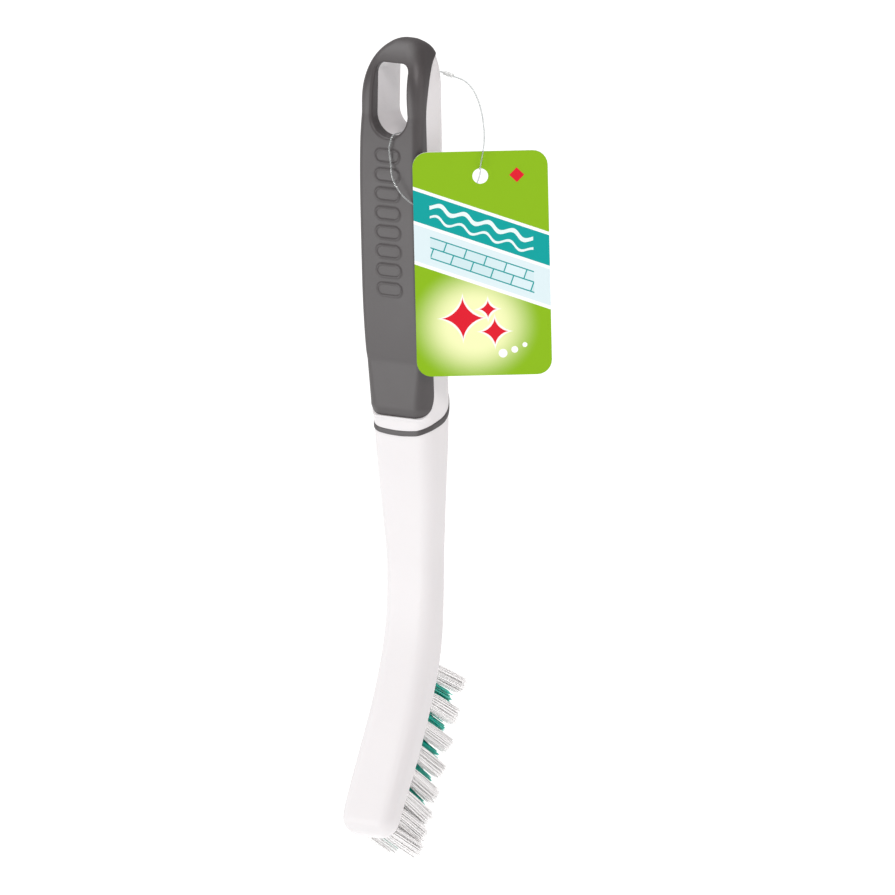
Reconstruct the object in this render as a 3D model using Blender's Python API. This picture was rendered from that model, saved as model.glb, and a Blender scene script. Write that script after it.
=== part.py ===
"""Grout and detail brush with its hang tag, built in metres with +Z up.

The brush hangs upright with its head down. The origin is the middle of the flat top wall of the
hang hole. The soft thumb side of the handle faces -Y, the bristles face +Y, and the whole brush is
symmetric about the plane X = 0. The card hangs on a filament loop at the front right.
"""

import math
import random

import bmesh
import bpy
import numpy as np
from mathutils import Matrix, Vector

# Handle, above the neck
HANDLE_WIDTH = 0.0248
HANDLE_DEPTH = 0.0174
TOP_RISE = 0.0072
TOP_ARCH = 0.0210
GRIP_END = 0.1224
FRONT_CORNER = 0.0030
BACK_CORNER = 0.0060
TOP_FRONT_CORNER = 0.0044
TOP_BACK_CORNER = 0.0034

# Soft grip
GRIP_WALL = 0.0040
GRIP_PROUD = 0.00035
GRIP_BELLY = 0.0019
GRIP_CHAMFER = 0.0034
RIB_WIDTH = 0.0080
RIB_HEIGHT = 0.0016
RIB_LENGTH = 0.0620

# Hang hole
HOLE_LENGTH = 0.0250
HOLE_WIDTH = 0.0146
HOLE_TOP_WIDTH = 0.0132
HOLE_TOP_CORNER = 0.0030
HOLE_RIM = 0.0011
BOSS_WALL = 0.0021

# Accent ring
COLLAR_HEIGHT = 0.0048
RING_HEIGHT = 0.0019
RING_DEPTH = 0.0010
RING_PROUD = 0.0002
RING_SIDE_RISE = 0.0038
RING_BACK_RISE = 0.0108
RING_BOW = 0.0006

# Neck and head
COLLAR_WIDTH = 0.0238
COLLAR_DEPTH = 0.0164
NECK_WIDTH = 0.0190
NECK_DEPTH = 0.0125
HEAD_WIDTH = 0.0210
HEAD_DEPTH = 0.0108
LOWER_LENGTH = 0.1409
HEAD_THROW = 0.0335
NECK_CORNER = 0.0037
HEAD_CORNER = 0.0052
BRISTLE_FACE_CORNER = 0.0022
END_CORNER = 0.0064

# Tufts and their anchors
TUFTS_IN_ROW = 8
TUFT_PITCH = 0.0100
PITCH_LOSS = 0.0005
ROW_SPACING = 0.0042
FIRST_TUFT = 0.6080
TUFT_HOLE_DIAMETER = 0.0042
TUFT_HOLE_DEPTH = 0.0052
BRISTLE_LENGTH = 0.0214
BRISTLE_WIDTH = 0.00052
TUFT_TIP_DIAMETER = 0.0050
ROW_LEAN = math.radians(2.0)
TUFT_SLANT = math.radians(6.3)
ANCHOR_WIDTH = 0.0046
ANCHOR_HEIGHT = 0.0021
ANCHOR_THICKNESS = 0.00036
ROOT_FOLD = 0.0006

# Hang tag, filament and lock
TAG_WIDTH = 0.0460
TAG_HEIGHT = 0.0778
TAG_THICKNESS = 0.0005
TAG_CORNER = 0.0051
TAG_HOLE_DIAMETER = 0.0054
TAG_HOLE_DROP = 0.0086
TAG_FACING = math.radians(35.0)
FILAMENT_DIAMETER = 0.0005
LOCK_LENGTH = 0.0046
LOCK_DIAMETER = 0.0017

# Clearance between pieces that touch in the real product
GAP = 0.0003

# Rings and points
RING_STEPS_PER_CORNER = 5
TUFT_SIDES = 12
CORD_POINTS = 78
TURN_LENGTH = 0.0018

TOP_Z = TOP_RISE
SHOULDER_Z = TOP_RISE - TOP_ARCH
GRIP_END_Z = -GRIP_END
LOWER_START_Z = GRIP_END_Z - GRIP_CHAMFER * 0.32
HALF_DEPTH = HANDLE_DEPTH / 2
BACK_Y = HALF_DEPTH * 1.023
FRONT_Y = BACK_Y - HANDLE_DEPTH
PARTING_TOP_Y = FRONT_Y - GRIP_PROUD + GRIP_WALL
PARTING_LOW_Y = PARTING_TOP_Y + GRIP_WALL * 0.25
REACH = HANDLE_WIDTH * 1.2

# The centre line of collar, neck and head: share of the length below the grip, and how far the
# line stands forward of the handle as a share of the head's throw. The neck first bows back.
CENTRE_LINE = (
    (0.000, -0.012), (0.160, -0.018), (0.350, -0.036), (0.450, -0.008), (0.550, 0.068),
    (0.646, 0.208), (0.740, 0.388), (0.833, 0.597), (0.913, 0.785), (0.956, 0.874),
    (0.984, 0.922), (1.000, 0.942),
)

# Width and depth along the same length: share, part of width, part of depth
LOWER_SIZES = (
    (0.000, COLLAR_WIDTH, COLLAR_DEPTH),
    (0.064, COLLAR_WIDTH * 0.985, COLLAR_DEPTH * 0.945),
    (0.160, COLLAR_WIDTH * 0.950, NECK_DEPTH * 1.080),
    (0.260, NECK_WIDTH * 1.095, NECK_DEPTH * 1.010),
    (0.355, NECK_WIDTH, NECK_DEPTH),
    (0.455, NECK_WIDTH * 1.010, NECK_DEPTH * 0.935),
    (0.600, HEAD_WIDTH * 0.955, HEAD_DEPTH * 1.045),
    (0.740, HEAD_WIDTH * 0.985, HEAD_DEPTH * 0.970),
    (0.833, HEAD_WIDTH, HEAD_DEPTH * 0.925),
    (0.905, HEAD_WIDTH, HEAD_DEPTH * 0.840),
    (1.000, HEAD_WIDTH * 0.985, HEAD_DEPTH * 0.700),
)

COLOURS = {
    "white": ((0.890, 0.885, 0.890), 0.22),
    "grey": ((0.165, 0.150, 0.152), 0.60),
    "bristle_white": ((0.800, 0.800, 0.790), 0.45),
    "bristle_teal": ((0.000, 0.330, 0.255), 0.45),
    "steel": ((0.560, 0.550, 0.520), 0.35),
    "card": ((0.270, 0.530, 0.025), 0.40),
    "filament": ((0.800, 0.820, 0.820), 0.25),
}


def remove_start_objects():
    """Empty the scene that Blender opens with."""
    for item in list(bpy.data.objects):
        bpy.data.objects.remove(item, do_unlink=True)


def material(kind):
    """A Principled material for one of the moulding or finish kinds."""
    found = bpy.data.materials.get(kind)
    if found:
        return found
    colour, roughness = COLOURS[kind]
    made = bpy.data.materials.new(kind)
    made.use_nodes = True
    shader = made.node_tree.nodes["Principled BSDF"]
    shader.inputs["Base Color"].default_value = (*colour, 1.0)
    shader.inputs["Roughness"].default_value = roughness
    shader.inputs["Metallic"].default_value = 1.0 if kind == "steel" else 0.0
    return made


def link(name, mesh, kind, smooth_angle=0.6):
    """Put a mesh in the scene under a node's name, shaded smooth below the given crease angle."""
    item = bpy.data.objects.new(name, mesh)
    bpy.context.scene.collection.objects.link(item)
    if kind:
        mesh.materials.append(material(kind))
    mesh.shade_smooth()
    mesh.set_sharp_from_angle(angle=smooth_angle)
    return item


def mesh_from(name, points, faces):
    """A mesh whose faces all point outwards."""
    mesh = bpy.data.meshes.new(name)
    shape = bmesh.new()
    corners = [shape.verts.new(point) for point in points]
    for face in faces:
        shape.faces.new([corners[index] for index in face])
    bmesh.ops.recalc_face_normals(shape, faces=shape.faces)
    shape.to_mesh(mesh)
    shape.free()
    return mesh


def lofted(name, rings, closed_loop=False):
    """A closed skin over rings of equally many points, capped at both ends or joined in a loop."""
    count = len(rings[0])
    points = [point for ring in rings for point in ring]
    faces = []
    spans = len(rings) if closed_loop else len(rings) - 1
    for row in range(spans):
        here = row * count
        there = ((row + 1) % len(rings)) * count
        for column in range(count):
            after = (column + 1) % count
            faces.append((here + column, here + after, there + after, there + column))
    if not closed_loop:
        faces.append(tuple(range(count)))
        faces.append(tuple(range(len(points) - count, len(points))))
    return mesh_from(name, points, faces)


def cutter(name, mesh):
    """A tool solid that is never part of the model."""
    item = link(name, mesh, None)
    item.hide_render = True
    item.display_type = "WIRE"
    return item


def combine(item, tool, operation, name):
    """Add a live Boolean modifier with the exact solver."""
    step = item.modifiers.new(name, "BOOLEAN")
    step.operation = operation
    step.solver = "EXACT"
    step.object = tool


def eased(table, column, share):
    """Smooth value of one column of a table at a share, through its rows, without overshoot."""
    xs = np.array([row[0] for row in table])
    ys = np.array([row[column] for row in table])
    steps = np.diff(xs)
    slopes = np.diff(ys) / steps
    bends = np.zeros(len(xs))
    same = slopes[:-1] * slopes[1:] > 0
    weight = steps[1:] / (steps[1:] + steps[:-1])
    mean = weight * slopes[:-1] + (1 - weight) * slopes[1:]
    bends[1:-1] = np.where(same, mean, 0.0)
    bends[0] = slopes[0]
    bends[-1] = slopes[-1]
    place = int(np.clip(np.searchsorted(xs, share) - 1, 0, len(xs) - 2))
    width = steps[place]
    t = (share - xs[place]) / width
    return float(
        ys[place] * (2 * t ** 3 - 3 * t ** 2 + 1)
        + bends[place] * width * (t ** 3 - 2 * t ** 2 + t)
        + ys[place + 1] * (3 * t ** 2 - 2 * t ** 3)
        + bends[place + 1] * width * (t ** 3 - t ** 2)
    )


def section(half_width, front, back, front_corner, back_corner):
    """Outline (x, y) of a rectangle with round corners, from the front right, anticlockwise."""
    limit = min(half_width, (back - front) / 2) * 0.96
    front_corner = min(front_corner, limit)
    back_corner = min(back_corner, limit)
    corners = (
        (half_width - front_corner, front + front_corner, front_corner, -90),
        (half_width - back_corner, back - back_corner, back_corner, 0),
        (-half_width + back_corner, back - back_corner, back_corner, 90),
        (-half_width + front_corner, front + front_corner, front_corner, 180),
    )
    outline = []
    for x, y, radius, start in corners:
        for step in range(RING_STEPS_PER_CORNER + 1):
            turn = math.radians(start + 90 * step / RING_STEPS_PER_CORNER)
            outline.append((x + radius * math.cos(turn), y + radius * math.sin(turn)))
    return outline


def lower_point(share):
    """Centre of the neck or head in the plane X = 0, as (y, z)."""
    forward = eased(CENTRE_LINE, 1, share) * HEAD_THROW
    return np.array((-forward, LOWER_START_Z - share * LOWER_LENGTH))


def lower_frame(share):
    """Centre, and the direction square to the centre line that points to the bristle side."""
    step = 0.004
    low = lower_point(max(share - step, 0.0))
    high = lower_point(min(share + step, 1.0))
    along = (high - low) / np.linalg.norm(high - low)
    return lower_point(share), np.array((-along[1], along[0]))


def lower_face(share):
    """Point of the bristle side's face in the plane X = 0, as (y, z)."""
    centre, out = lower_frame(share)
    return centre + out * eased(LOWER_SIZES, 2, share) / 2


def end_inset(share, radius):
    """How far the round edge at the head's end draws a face in at a share of the length."""
    left = max(radius - (1.0 - share) * LOWER_LENGTH, 0.0)
    return radius - math.sqrt(max(radius ** 2 - left ** 2, 0.0))


def lower_ring(share):
    """Section of collar, neck or head, square to the centre line."""
    centre, out = lower_frame(share)
    half = eased(LOWER_SIZES, 2, share) / 2
    blend = min(max((share - 0.40) / 0.20, 0.0), 1.0)
    front_corner = NECK_CORNER + (HEAD_CORNER - NECK_CORNER) * blend
    back_corner = NECK_CORNER * 1.12 + (BRISTLE_FACE_CORNER - NECK_CORNER * 1.12) * blend
    half_width = eased(LOWER_SIZES, 1, share) / 2 - end_inset(share, END_CORNER)
    front = -half + end_inset(share, END_CORNER * 0.9)
    back = half - end_inset(share, BRISTLE_FACE_CORNER * 0.8)
    flat = section(half_width, front, back, front_corner, back_corner)
    return [(x, centre[0] + out[0] * y, centre[1] + out[1] * y) for x, y in flat]


def top_rise_share(z):
    """How far a height lies up the arch of the handle's end, from 0 at its shoulder to 1."""
    return min(max((z - SHOULDER_Z) / TOP_ARCH, 0.0), 1.0)


def upper_section(z, proud):
    """Section (x, y) of the handle at a height above the collar, grown by a margin."""
    rise = top_rise_share(z) * (1.0 - 0.0006)
    arch = (1.0 - rise ** 2.4) ** (1 / 2.4)
    crest_y = HALF_DEPTH * 0.47
    front = crest_y - (crest_y - FRONT_Y) * math.sqrt(1.0 - rise ** 2)
    back_start = 0.76
    back_rise = max(rise - back_start, 0.0) / (1.0 - back_start)
    back = crest_y + (BACK_Y - crest_y) * math.sqrt(1.0 - back_rise ** 2)
    half_width = HANDLE_WIDTH / 2 * arch
    return half_width + proud, front - proud, back + proud


def top_corners(z):
    """Corner radii of front and back, which change towards the round end of the handle."""
    front_share = min(max((z - SHOULDER_Z) / (TOP_ARCH * 1.14) + 0.5, 0.0), 1.0)
    back_share = top_rise_share(z)
    front_corner = FRONT_CORNER + (TOP_FRONT_CORNER - FRONT_CORNER) * front_share
    back_corner = BACK_CORNER + (TOP_BACK_CORNER - BACK_CORNER) * back_share
    return front_corner, back_corner


def core_ring(z):
    """Section of the white body behind the grip."""
    half_width, front, back = upper_section(z, 0.0)
    low = min(max((z + GRIP_END * 0.55) / (-GRIP_END * 0.45), 0.0), 1.0)
    half_width += (COLLAR_WIDTH / 2 - HANDLE_WIDTH / 2) * low ** 3
    front_corner, back_corner = top_corners(z)
    back_corner += (NECK_CORNER * 1.12 - back_corner) * low ** 2
    outline = section(half_width, front, back, front_corner, back_corner)
    return [(x, y, z) for x, y in outline]


def grip_front(z):
    """How far the palm swell stands forward of the straight handle, and the chamfer at its end."""
    swell_top = SHOULDER_Z - TOP_ARCH * 0.19
    swell_low = GRIP_END_Z + GRIP_END * 0.155
    middle = (swell_top + swell_low) / 2
    reach = (swell_top - swell_low) / 2
    away = min(abs(z - middle) / reach, 1.0)
    belly = GRIP_BELLY * (1.0 - away ** 3.2)
    above_end = max(z - GRIP_END_Z, 0.0)
    chamfer = max(1.0 - above_end / GRIP_CHAMFER, 0.0)
    return belly, chamfer


def grip_ring(z):
    """Section of the soft grip's outer shape."""
    half_width, front, back = upper_section(z, GRIP_PROUD)
    belly, chamfer = grip_front(z)
    collar_front = -COLLAR_DEPTH * 0.476
    front = front - belly + (collar_front - front) * chamfer ** 1.5
    half_width += (COLLAR_WIDTH * 0.504 - half_width) * chamfer ** 1.5
    near_end = min(max(1.22 - (z - GRIP_END_Z) / (GRIP_END * 0.147), 0.0), 1.0)
    front_corner, back_corner = top_corners(z)
    front_corner += FRONT_CORNER * 0.35 * near_end
    outline = section(half_width, front, back, front_corner, back_corner)
    return [(x, y, z) for x, y in outline]


def arch_heights(count):
    """Heights of rings over the round end, closer together towards the top."""
    turns = [math.pi / 2 * (1 - step / count) for step in range(count)]
    return [SHOULDER_Z + TOP_ARCH * math.sin(turn) for turn in turns]


def build_core_blank():
    """White body before its recess, holes and groove are cut."""
    heights = arch_heights(9)
    straight = 9
    heights += [
        SHOULDER_Z + (GRIP_END_Z - SHOULDER_Z) * step / straight for step in range(straight + 1)
    ]
    rings = [core_ring(z) for z in heights]
    spans = 30
    round_start = 1.0 - END_CORNER / LOWER_LENGTH
    rings += [lower_ring(round_start * step / spans) for step in range(spans + 1)]
    for step in range(1, 7):
        turn = math.pi / 2 * step / 6
        rings.append(lower_ring(1.0 - (1.0 - math.sin(turn)) * END_CORNER / LOWER_LENGTH))
    return link("handle_core", lofted("handle_core", rings), "white")


def build_grip_blank():
    """Soft grip's outer shape before it is trimmed to its zone."""
    heights = arch_heights(12)
    straight = 17
    low = GRIP_END_Z + GRIP_CHAMFER
    heights += [SHOULDER_Z + (low - SHOULDER_Z) * step / straight for step in range(straight + 1)]
    heights += [GRIP_END_Z + GRIP_CHAMFER * step for step in (0.6, 0.3, 0.0)]
    heights.append(GRIP_END_Z - GRIP_CHAMFER * 0.6)
    rings = [grip_ring(z) for z in heights]
    return link("soft_grip", lofted("soft_grip", rings), "grey")


def parting_profile(gap):
    """Side view (y, z) of the region that the soft grip fills, grown by a gap towards the core."""
    far = REACH
    corner_y = GRIP_WALL * 1.05
    corner_z = GRIP_CHAMFER * 2.35
    end_z = GRIP_END_Z - gap
    start_y = PARTING_LOW_Y - corner_y
    profile = [(-far, end_z), (start_y, end_z)]
    for step in range(1, 7):
        turn = math.pi / 2 * step / 6
        y = start_y + (corner_y + gap) * math.sin(turn) ** 1.25
        z = end_z + corner_z * (1.0 - math.cos(turn) ** 1.25)
        profile.append((y, z))
    bend_z = SHOULDER_Z - TOP_ARCH * 0.286
    crest_y = BACK_Y * 1.067
    crest_z = TOP_Z * 0.333
    for step in range(0, 11):
        turn = math.pi / 2 * step / 10
        y = crest_y - (crest_y - PARTING_TOP_Y - gap) * math.cos(turn)
        z = bend_z + (crest_z - gap - bend_z) * math.sin(turn)
        profile.append((y, z))
    profile += [(far, crest_z - gap), (far, far), (-far, far)]
    return profile


def prism_along_x(name, profile, half_width):
    """Closed solid whose side view is the profile."""
    rings = [[(x, y, z) for y, z in profile] for x in (-half_width, half_width)]
    return lofted(name, rings)


def prism_along_y(name, outline, low, high):
    """Closed solid whose front view is the outline."""
    rings = [[(x, y, z) for x, z in outline] for y in (low, high)]
    return lofted(name, rings)


def hole_outline(offset, top_offset=None):
    """Front view (x, z) of the hang hole, flat at its top and round at its bottom, grown."""
    outline = []
    top_offset = offset if top_offset is None else top_offset
    top_x = HOLE_TOP_WIDTH / 2 - HOLE_TOP_CORNER
    for step in range(5):
        turn = math.pi / 2 * step / 4
        x = top_x + (HOLE_TOP_CORNER + offset) * math.sin(turn)
        z = -HOLE_TOP_CORNER + (HOLE_TOP_CORNER + top_offset) * math.cos(turn)
        outline.append((x, z))
    radius = HOLE_WIDTH / 2
    low_z = radius - HOLE_LENGTH
    for step in range(11):
        turn = math.pi * step / 10
        x = (radius + offset) * math.cos(turn)
        z = low_z - (radius + offset) * math.sin(turn)
        outline.append((x, z))
    outline += [(-x, z) for x, z in reversed(outline[:5])]
    return outline


def hole_tool():
    """Cutter of the hang hole, flared to a rounded rim that follows the grip's front."""
    rings = []
    for step in (4, 3, 2, 1, 0):
        turn = math.pi / 2 * step / 3
        grown = HOLE_RIM * (1 - math.cos(min(turn, math.pi / 2)))
        ring = []
        for x, z in hole_outline(grown, grown * 0.3):
            skin = grip_ring(min(z, TOP_Z * 0.5))[0][1]
            lift = HANDLE_DEPTH * 0.35 if step == 4 else 0.0
            ring.append((x, skin - lift + HOLE_RIM * (1 - math.sin(min(turn, math.pi / 2))), z))
        rings.append(ring)
    back_rim = HOLE_RIM * 0.7
    for step in range(4):
        turn = math.pi / 2 * step / 3
        grown = back_rim * (1 - math.cos(turn))
        y = BACK_Y - back_rim + back_rim * math.sin(turn)
        rings.append([(x, y, z) for x, z in hole_outline(grown)])
    rings.append([(x, BACK_Y + HOLE_RIM * 3, z) for x, z in hole_outline(back_rim)])
    return cutter("hole_tool", lofted("hole_tool", rings))


def stadium(width, top, low):
    """Front view of an upright slot shape with round ends."""
    radius = width / 2
    outline = []
    for centre, start in ((top - radius, 0), (low + radius, 180)):
        for step in range(7):
            turn = math.radians(start + 30 * step)
            outline.append((radius * math.cos(turn), centre + radius * math.sin(turn)))
    return outline


def band(name, kind, inner, outer, half_height):
    """Ring that follows the body's skin on a line that climbs towards the back of the handle."""
    middle_z = GRIP_END_Z - COLLAR_HEIGHT - RING_HEIGHT / 2
    count = len(skin_section(middle_z))
    rings = []
    for index in range(count):
        height = middle_z
        for _ in range(12):
            outline = skin_section(height)
            x, y = outline[index]
            front = min(point[1] for point in outline)
            back = max(point[1] for point in outline)
            share = (y - front) / (back - front)
            bow = RING_BOW * (2 * x / COLLAR_WIDTH) ** 2
            rise = RING_SIDE_RISE * max(share, 0.0) ** 0.7 + RING_BACK_RISE * share ** 7
            height = 0.5 * (height + middle_z + bow + rise)
        before = outline[index - 1]
        after = outline[(index + 1) % count]
        across = np.array((after[1] - before[1], before[0] - after[0]))
        across = across / np.linalg.norm(across)
        ring = []
        for offset, rise in ((inner, -1), (outer, -1), (outer, 1), (inner, 1)):
            ring.append((
                x + across[0] * offset, y + across[1] * offset, height + rise * half_height,
            ))
        rings.append(ring)
    return link(name, lofted(name, rings, closed_loop=True), kind)


def with_middle_points(outline):
    """Outline with three more points across each of its flat sides."""
    full = []
    for index, here in enumerate(outline):
        after = outline[(index + 1) % len(outline)]
        full.append(here)
        if index % (RING_STEPS_PER_CORNER + 1) == RING_STEPS_PER_CORNER:
            for part in (0.25, 0.5, 0.75):
                full.append((
                    here[0] + (after[0] - here[0]) * part, here[1] + (after[1] - here[1]) * part,
                ))
    return full


def skin_section(z):
    """Outline (x, y) of the white body's skin at a height near the ring."""
    if z >= GRIP_END_Z:
        return with_middle_points([(x, y) for x, y, _ in core_ring(z)])
    upper = [(x, y) for x, y, _ in core_ring(GRIP_END_Z)]
    share = (LOWER_START_Z - z) / LOWER_LENGTH
    mix = min((GRIP_END_Z - z) / (GRIP_END_Z - LOWER_START_Z), 1.0)
    lower = [(x, y) for x, y, _ in lower_ring(max(share, 0.0))]
    return with_middle_points([
        (a[0] + (b[0] - a[0]) * mix, a[1] + (b[1] - a[1]) * mix) for a, b in zip(upper, lower)
    ])


def tuft_places():
    """Each tuft's name, place on the bristle face and outward direction."""
    shares = np.linspace(0.5, 1.0, 400)
    line = np.array([lower_face(share) for share in shares])
    lengths = np.concatenate(([0.0], np.cumsum(np.linalg.norm(np.diff(line, axis=0), axis=1))))
    start = np.interp(FIRST_TUFT, shares, lengths)
    places = []
    rows = (("left", -1, 0.0, TUFTS_IN_ROW), ("right", 1, 0.0, TUFTS_IN_ROW),
            ("centre", 0, 0.5, TUFTS_IN_ROW - 1))
    for row, side, stagger, count in rows:
        for number in range(count):
            steps = number + stagger
            length = start + steps * TUFT_PITCH - steps ** 2 * PITCH_LOSS / 2
            y = np.interp(length, lengths, line[:, 0])
            z = np.interp(length, lengths, line[:, 1])
            ahead = np.array([np.interp(length + 0.001, lengths, line[:, c]) for c in (0, 1)])
            behind = np.array([np.interp(length - 0.001, lengths, line[:, c]) for c in (0, 1)])
            along = (ahead - behind) / np.linalg.norm(ahead - behind)
            tilt = math.atan2(-along[0], -along[1]) + TUFT_SLANT
            lean = side * ROW_LEAN
            out = Vector((
                math.sin(lean), math.cos(lean) * math.cos(tilt), -math.cos(lean) * math.sin(tilt),
            ))
            base = Vector((side * ROW_SPACING, y, z))
            places.append((f"{row}_{number + 1}", base, out))
    return places


def seat_matrix(base, out):
    """Frame with its Z along the tuft, its X across the head and its origin on the face."""
    across = Vector((1.0, 0.0, 0.0))
    across = (across - out * across.dot(out)).normalized()
    turned = Matrix((across, out.cross(across), out)).transposed().to_4x4()
    return Matrix.Translation(base) @ turned


def box_mesh(name, size_x, size_y, low_z, high_z):
    """Closed box centred on X and Y."""
    outline = ((-1, -1), (1, -1), (1, 1), (-1, 1))
    rings = [
        [(x * size_x / 2, y * size_y / 2, z) for x, y in outline] for z in (low_z, high_z)
    ]
    return lofted(name, rings)


def merged_tool(name, meshes):
    """One cutter made of many separate closed solids, each already in place."""
    shape = bmesh.new()
    for mesh, place in meshes:
        before = len(shape.verts)
        shape.from_mesh(mesh)
        shape.verts.ensure_lookup_table()
        bmesh.ops.transform(shape, matrix=place, verts=shape.verts[before:])
    joined = bpy.data.meshes.new(name)
    shape.to_mesh(joined)
    shape.free()
    return cutter(name, joined)


def round_bar(name, radius, low, high, sides):
    """Closed upright bar with flat ends."""
    turns = [2 * math.pi * step / sides for step in range(sides)]
    rings = [[(radius * math.cos(t), radius * math.sin(t), z) for t in turns] for z in (low, high)]
    return lofted(name, rings)


def strand_spots():
    """Unit disc places of the strands of a tuft: one in the middle, then rings of 6 and 12."""
    spots = [(0.0, 0.0)]
    for count, radius in ((6, 0.5), (12, 1.0)):
        for step in range(count):
            turn = 2 * math.pi * (step + 0.25 * radius) / count
            spots.append((radius * math.cos(turn), radius * math.sin(turn)))
    return spots


def tuft_mesh(name, seed):
    """Strands that spread evenly from the hole and share one root, with a slot for the anchor."""
    dice = random.Random(seed)
    root_radius = TUFT_HOLE_DIAMETER / 2 - GAP
    root_low = -TUFT_HOLE_DEPTH + GAP
    root_top = -GAP
    base_radius = root_radius - BRISTLE_WIDTH * 0.62
    tip_radius = TUFT_TIP_DIAMETER / 2
    strands = bmesh.new()
    for x, y in strand_spots():
        reach = BRISTLE_LENGTH * (1.0 - dice.uniform(0.0, 0.072))
        spin = dice.uniform(0.0, 2.1)
        tip_x = x * tip_radius + BRISTLE_WIDTH * dice.uniform(-0.23, 0.23)
        tip_y = y * tip_radius + BRISTLE_WIDTH * dice.uniform(-0.23, 0.23)
        deep = root_top - ROOT_FOLD * 0.67
        lines = []
        for corner in range(3):
            turn = spin + 2 * math.pi * corner / 3
            offset = Vector((math.cos(turn), math.sin(turn), 0.0)) * BRISTLE_WIDTH * 0.58
            low = strands.verts.new(Vector((x * base_radius, y * base_radius, deep)) + offset)
            high = strands.verts.new(Vector((tip_x, tip_y, reach)) + offset)
            lines.append((low, high))
        strands.faces.new([low for low, _ in reversed(lines)])
        strands.faces.new([high for _, high in lines])
        for corner in range(3):
            low, high = lines[corner]
            next_low, next_high = lines[(corner + 1) % 3]
            strands.faces.new((low, next_low, next_high, high))
    strand_mesh = bpy.data.meshes.new(name + "_strands")
    strands.to_mesh(strand_mesh)
    strands.free()
    root = round_bar(name, root_radius, root_low, root_top, TUFT_SIDES)
    slot_low = root_low + ROOT_FOLD
    slot = box_mesh(
        name + "_slot", 2.4 * root_radius, ANCHOR_THICKNESS + 2 * GAP,
        slot_low, slot_low + ANCHOR_HEIGHT + 2 * GAP,
    )
    return root, strand_mesh, slot


def baked(item):
    """Apply an object's modifiers and return its mesh."""
    depsgraph = bpy.context.evaluated_depsgraph_get()
    mesh = bpy.data.meshes.new_from_object(item.evaluated_get(depsgraph))
    return mesh


def build_tufts():
    """Twenty-three tufts in three rows and an anchor plate in the root of each."""
    places = tuft_places()
    tuft_holes = []
    notches = []
    mouth = TUFT_HOLE_DIAMETER * 0.95
    hole = round_bar("tuft_hole", TUFT_HOLE_DIAMETER / 2, -TUFT_HOLE_DEPTH, mouth, TUFT_SIDES)
    plate_low = -TUFT_HOLE_DEPTH + GAP + ROOT_FOLD + GAP
    plate_high = plate_low + ANCHOR_HEIGHT
    notch = box_mesh(
        "anchor_notch", ANCHOR_WIDTH + 2 * GAP, ANCHOR_THICKNESS + 2 * GAP,
        plate_low - GAP, plate_high + GAP,
    )
    plate = box_mesh("anchor", ANCHOR_WIDTH, ANCHOR_THICKNESS, plate_low, plate_high)
    for number, (label, base, out) in enumerate(places):
        place = seat_matrix(base, out)
        tuft_holes.append((hole, place))
        notches.append((notch, place))
        root, strand_mesh, slot = tuft_mesh("tuft_" + label, 40 + number)
        kind = "bristle_teal" if label.startswith("centre") else "bristle_white"
        tuft = link("tuft_" + label, root, kind)
        strands = cutter("strands", strand_mesh)
        slot_tool = cutter("slot", slot)
        combine(tuft, strands, "UNION", "Strands")
        combine(tuft, slot_tool, "DIFFERENCE", "Anchor slot")
        tuft.data = baked(tuft)
        tuft.modifiers.clear()
        bpy.data.objects.remove(strands, do_unlink=True)
        bpy.data.objects.remove(slot_tool, do_unlink=True)
        tuft.matrix_world = place
        anchor = link("anchor_" + label, plate.copy(), "steel", 0.4)
        anchor.matrix_world = place
    return merged_tool("tuft_hole_tool", tuft_holes), merged_tool("anchor_notch_tool", notches)


def boss_tool(name, gap, back):
    """Tube wall round the hang hole, sloped back at its top so that the soft nose stays thick."""
    wall = cutter(name, prism_along_y(
        name, hole_outline(BOSS_WALL + gap), PARTING_TOP_Y - GRIP_WALL, back,
    ))
    front = PARTING_TOP_Y - gap
    slope_low = -HOLE_LENGTH * 0.14
    slope_top_y = grip_ring(BOSS_WALL)[0][1] + GRIP_WALL * 0.425 - gap
    far = back + GAP
    side = [
        (front, -2 * HOLE_LENGTH), (front, slope_low), (slope_top_y, BOSS_WALL + gap),
        (slope_top_y + GRIP_WALL, 5 * BOSS_WALL), (far, 5 * BOSS_WALL), (far, -2 * HOLE_LENGTH),
    ]
    shape = cutter(name + "_side", prism_along_x(name + "_side", side, HANDLE_WIDTH))
    combine(wall, shape, "INTERSECT", "Sloped front")
    return wall


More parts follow.
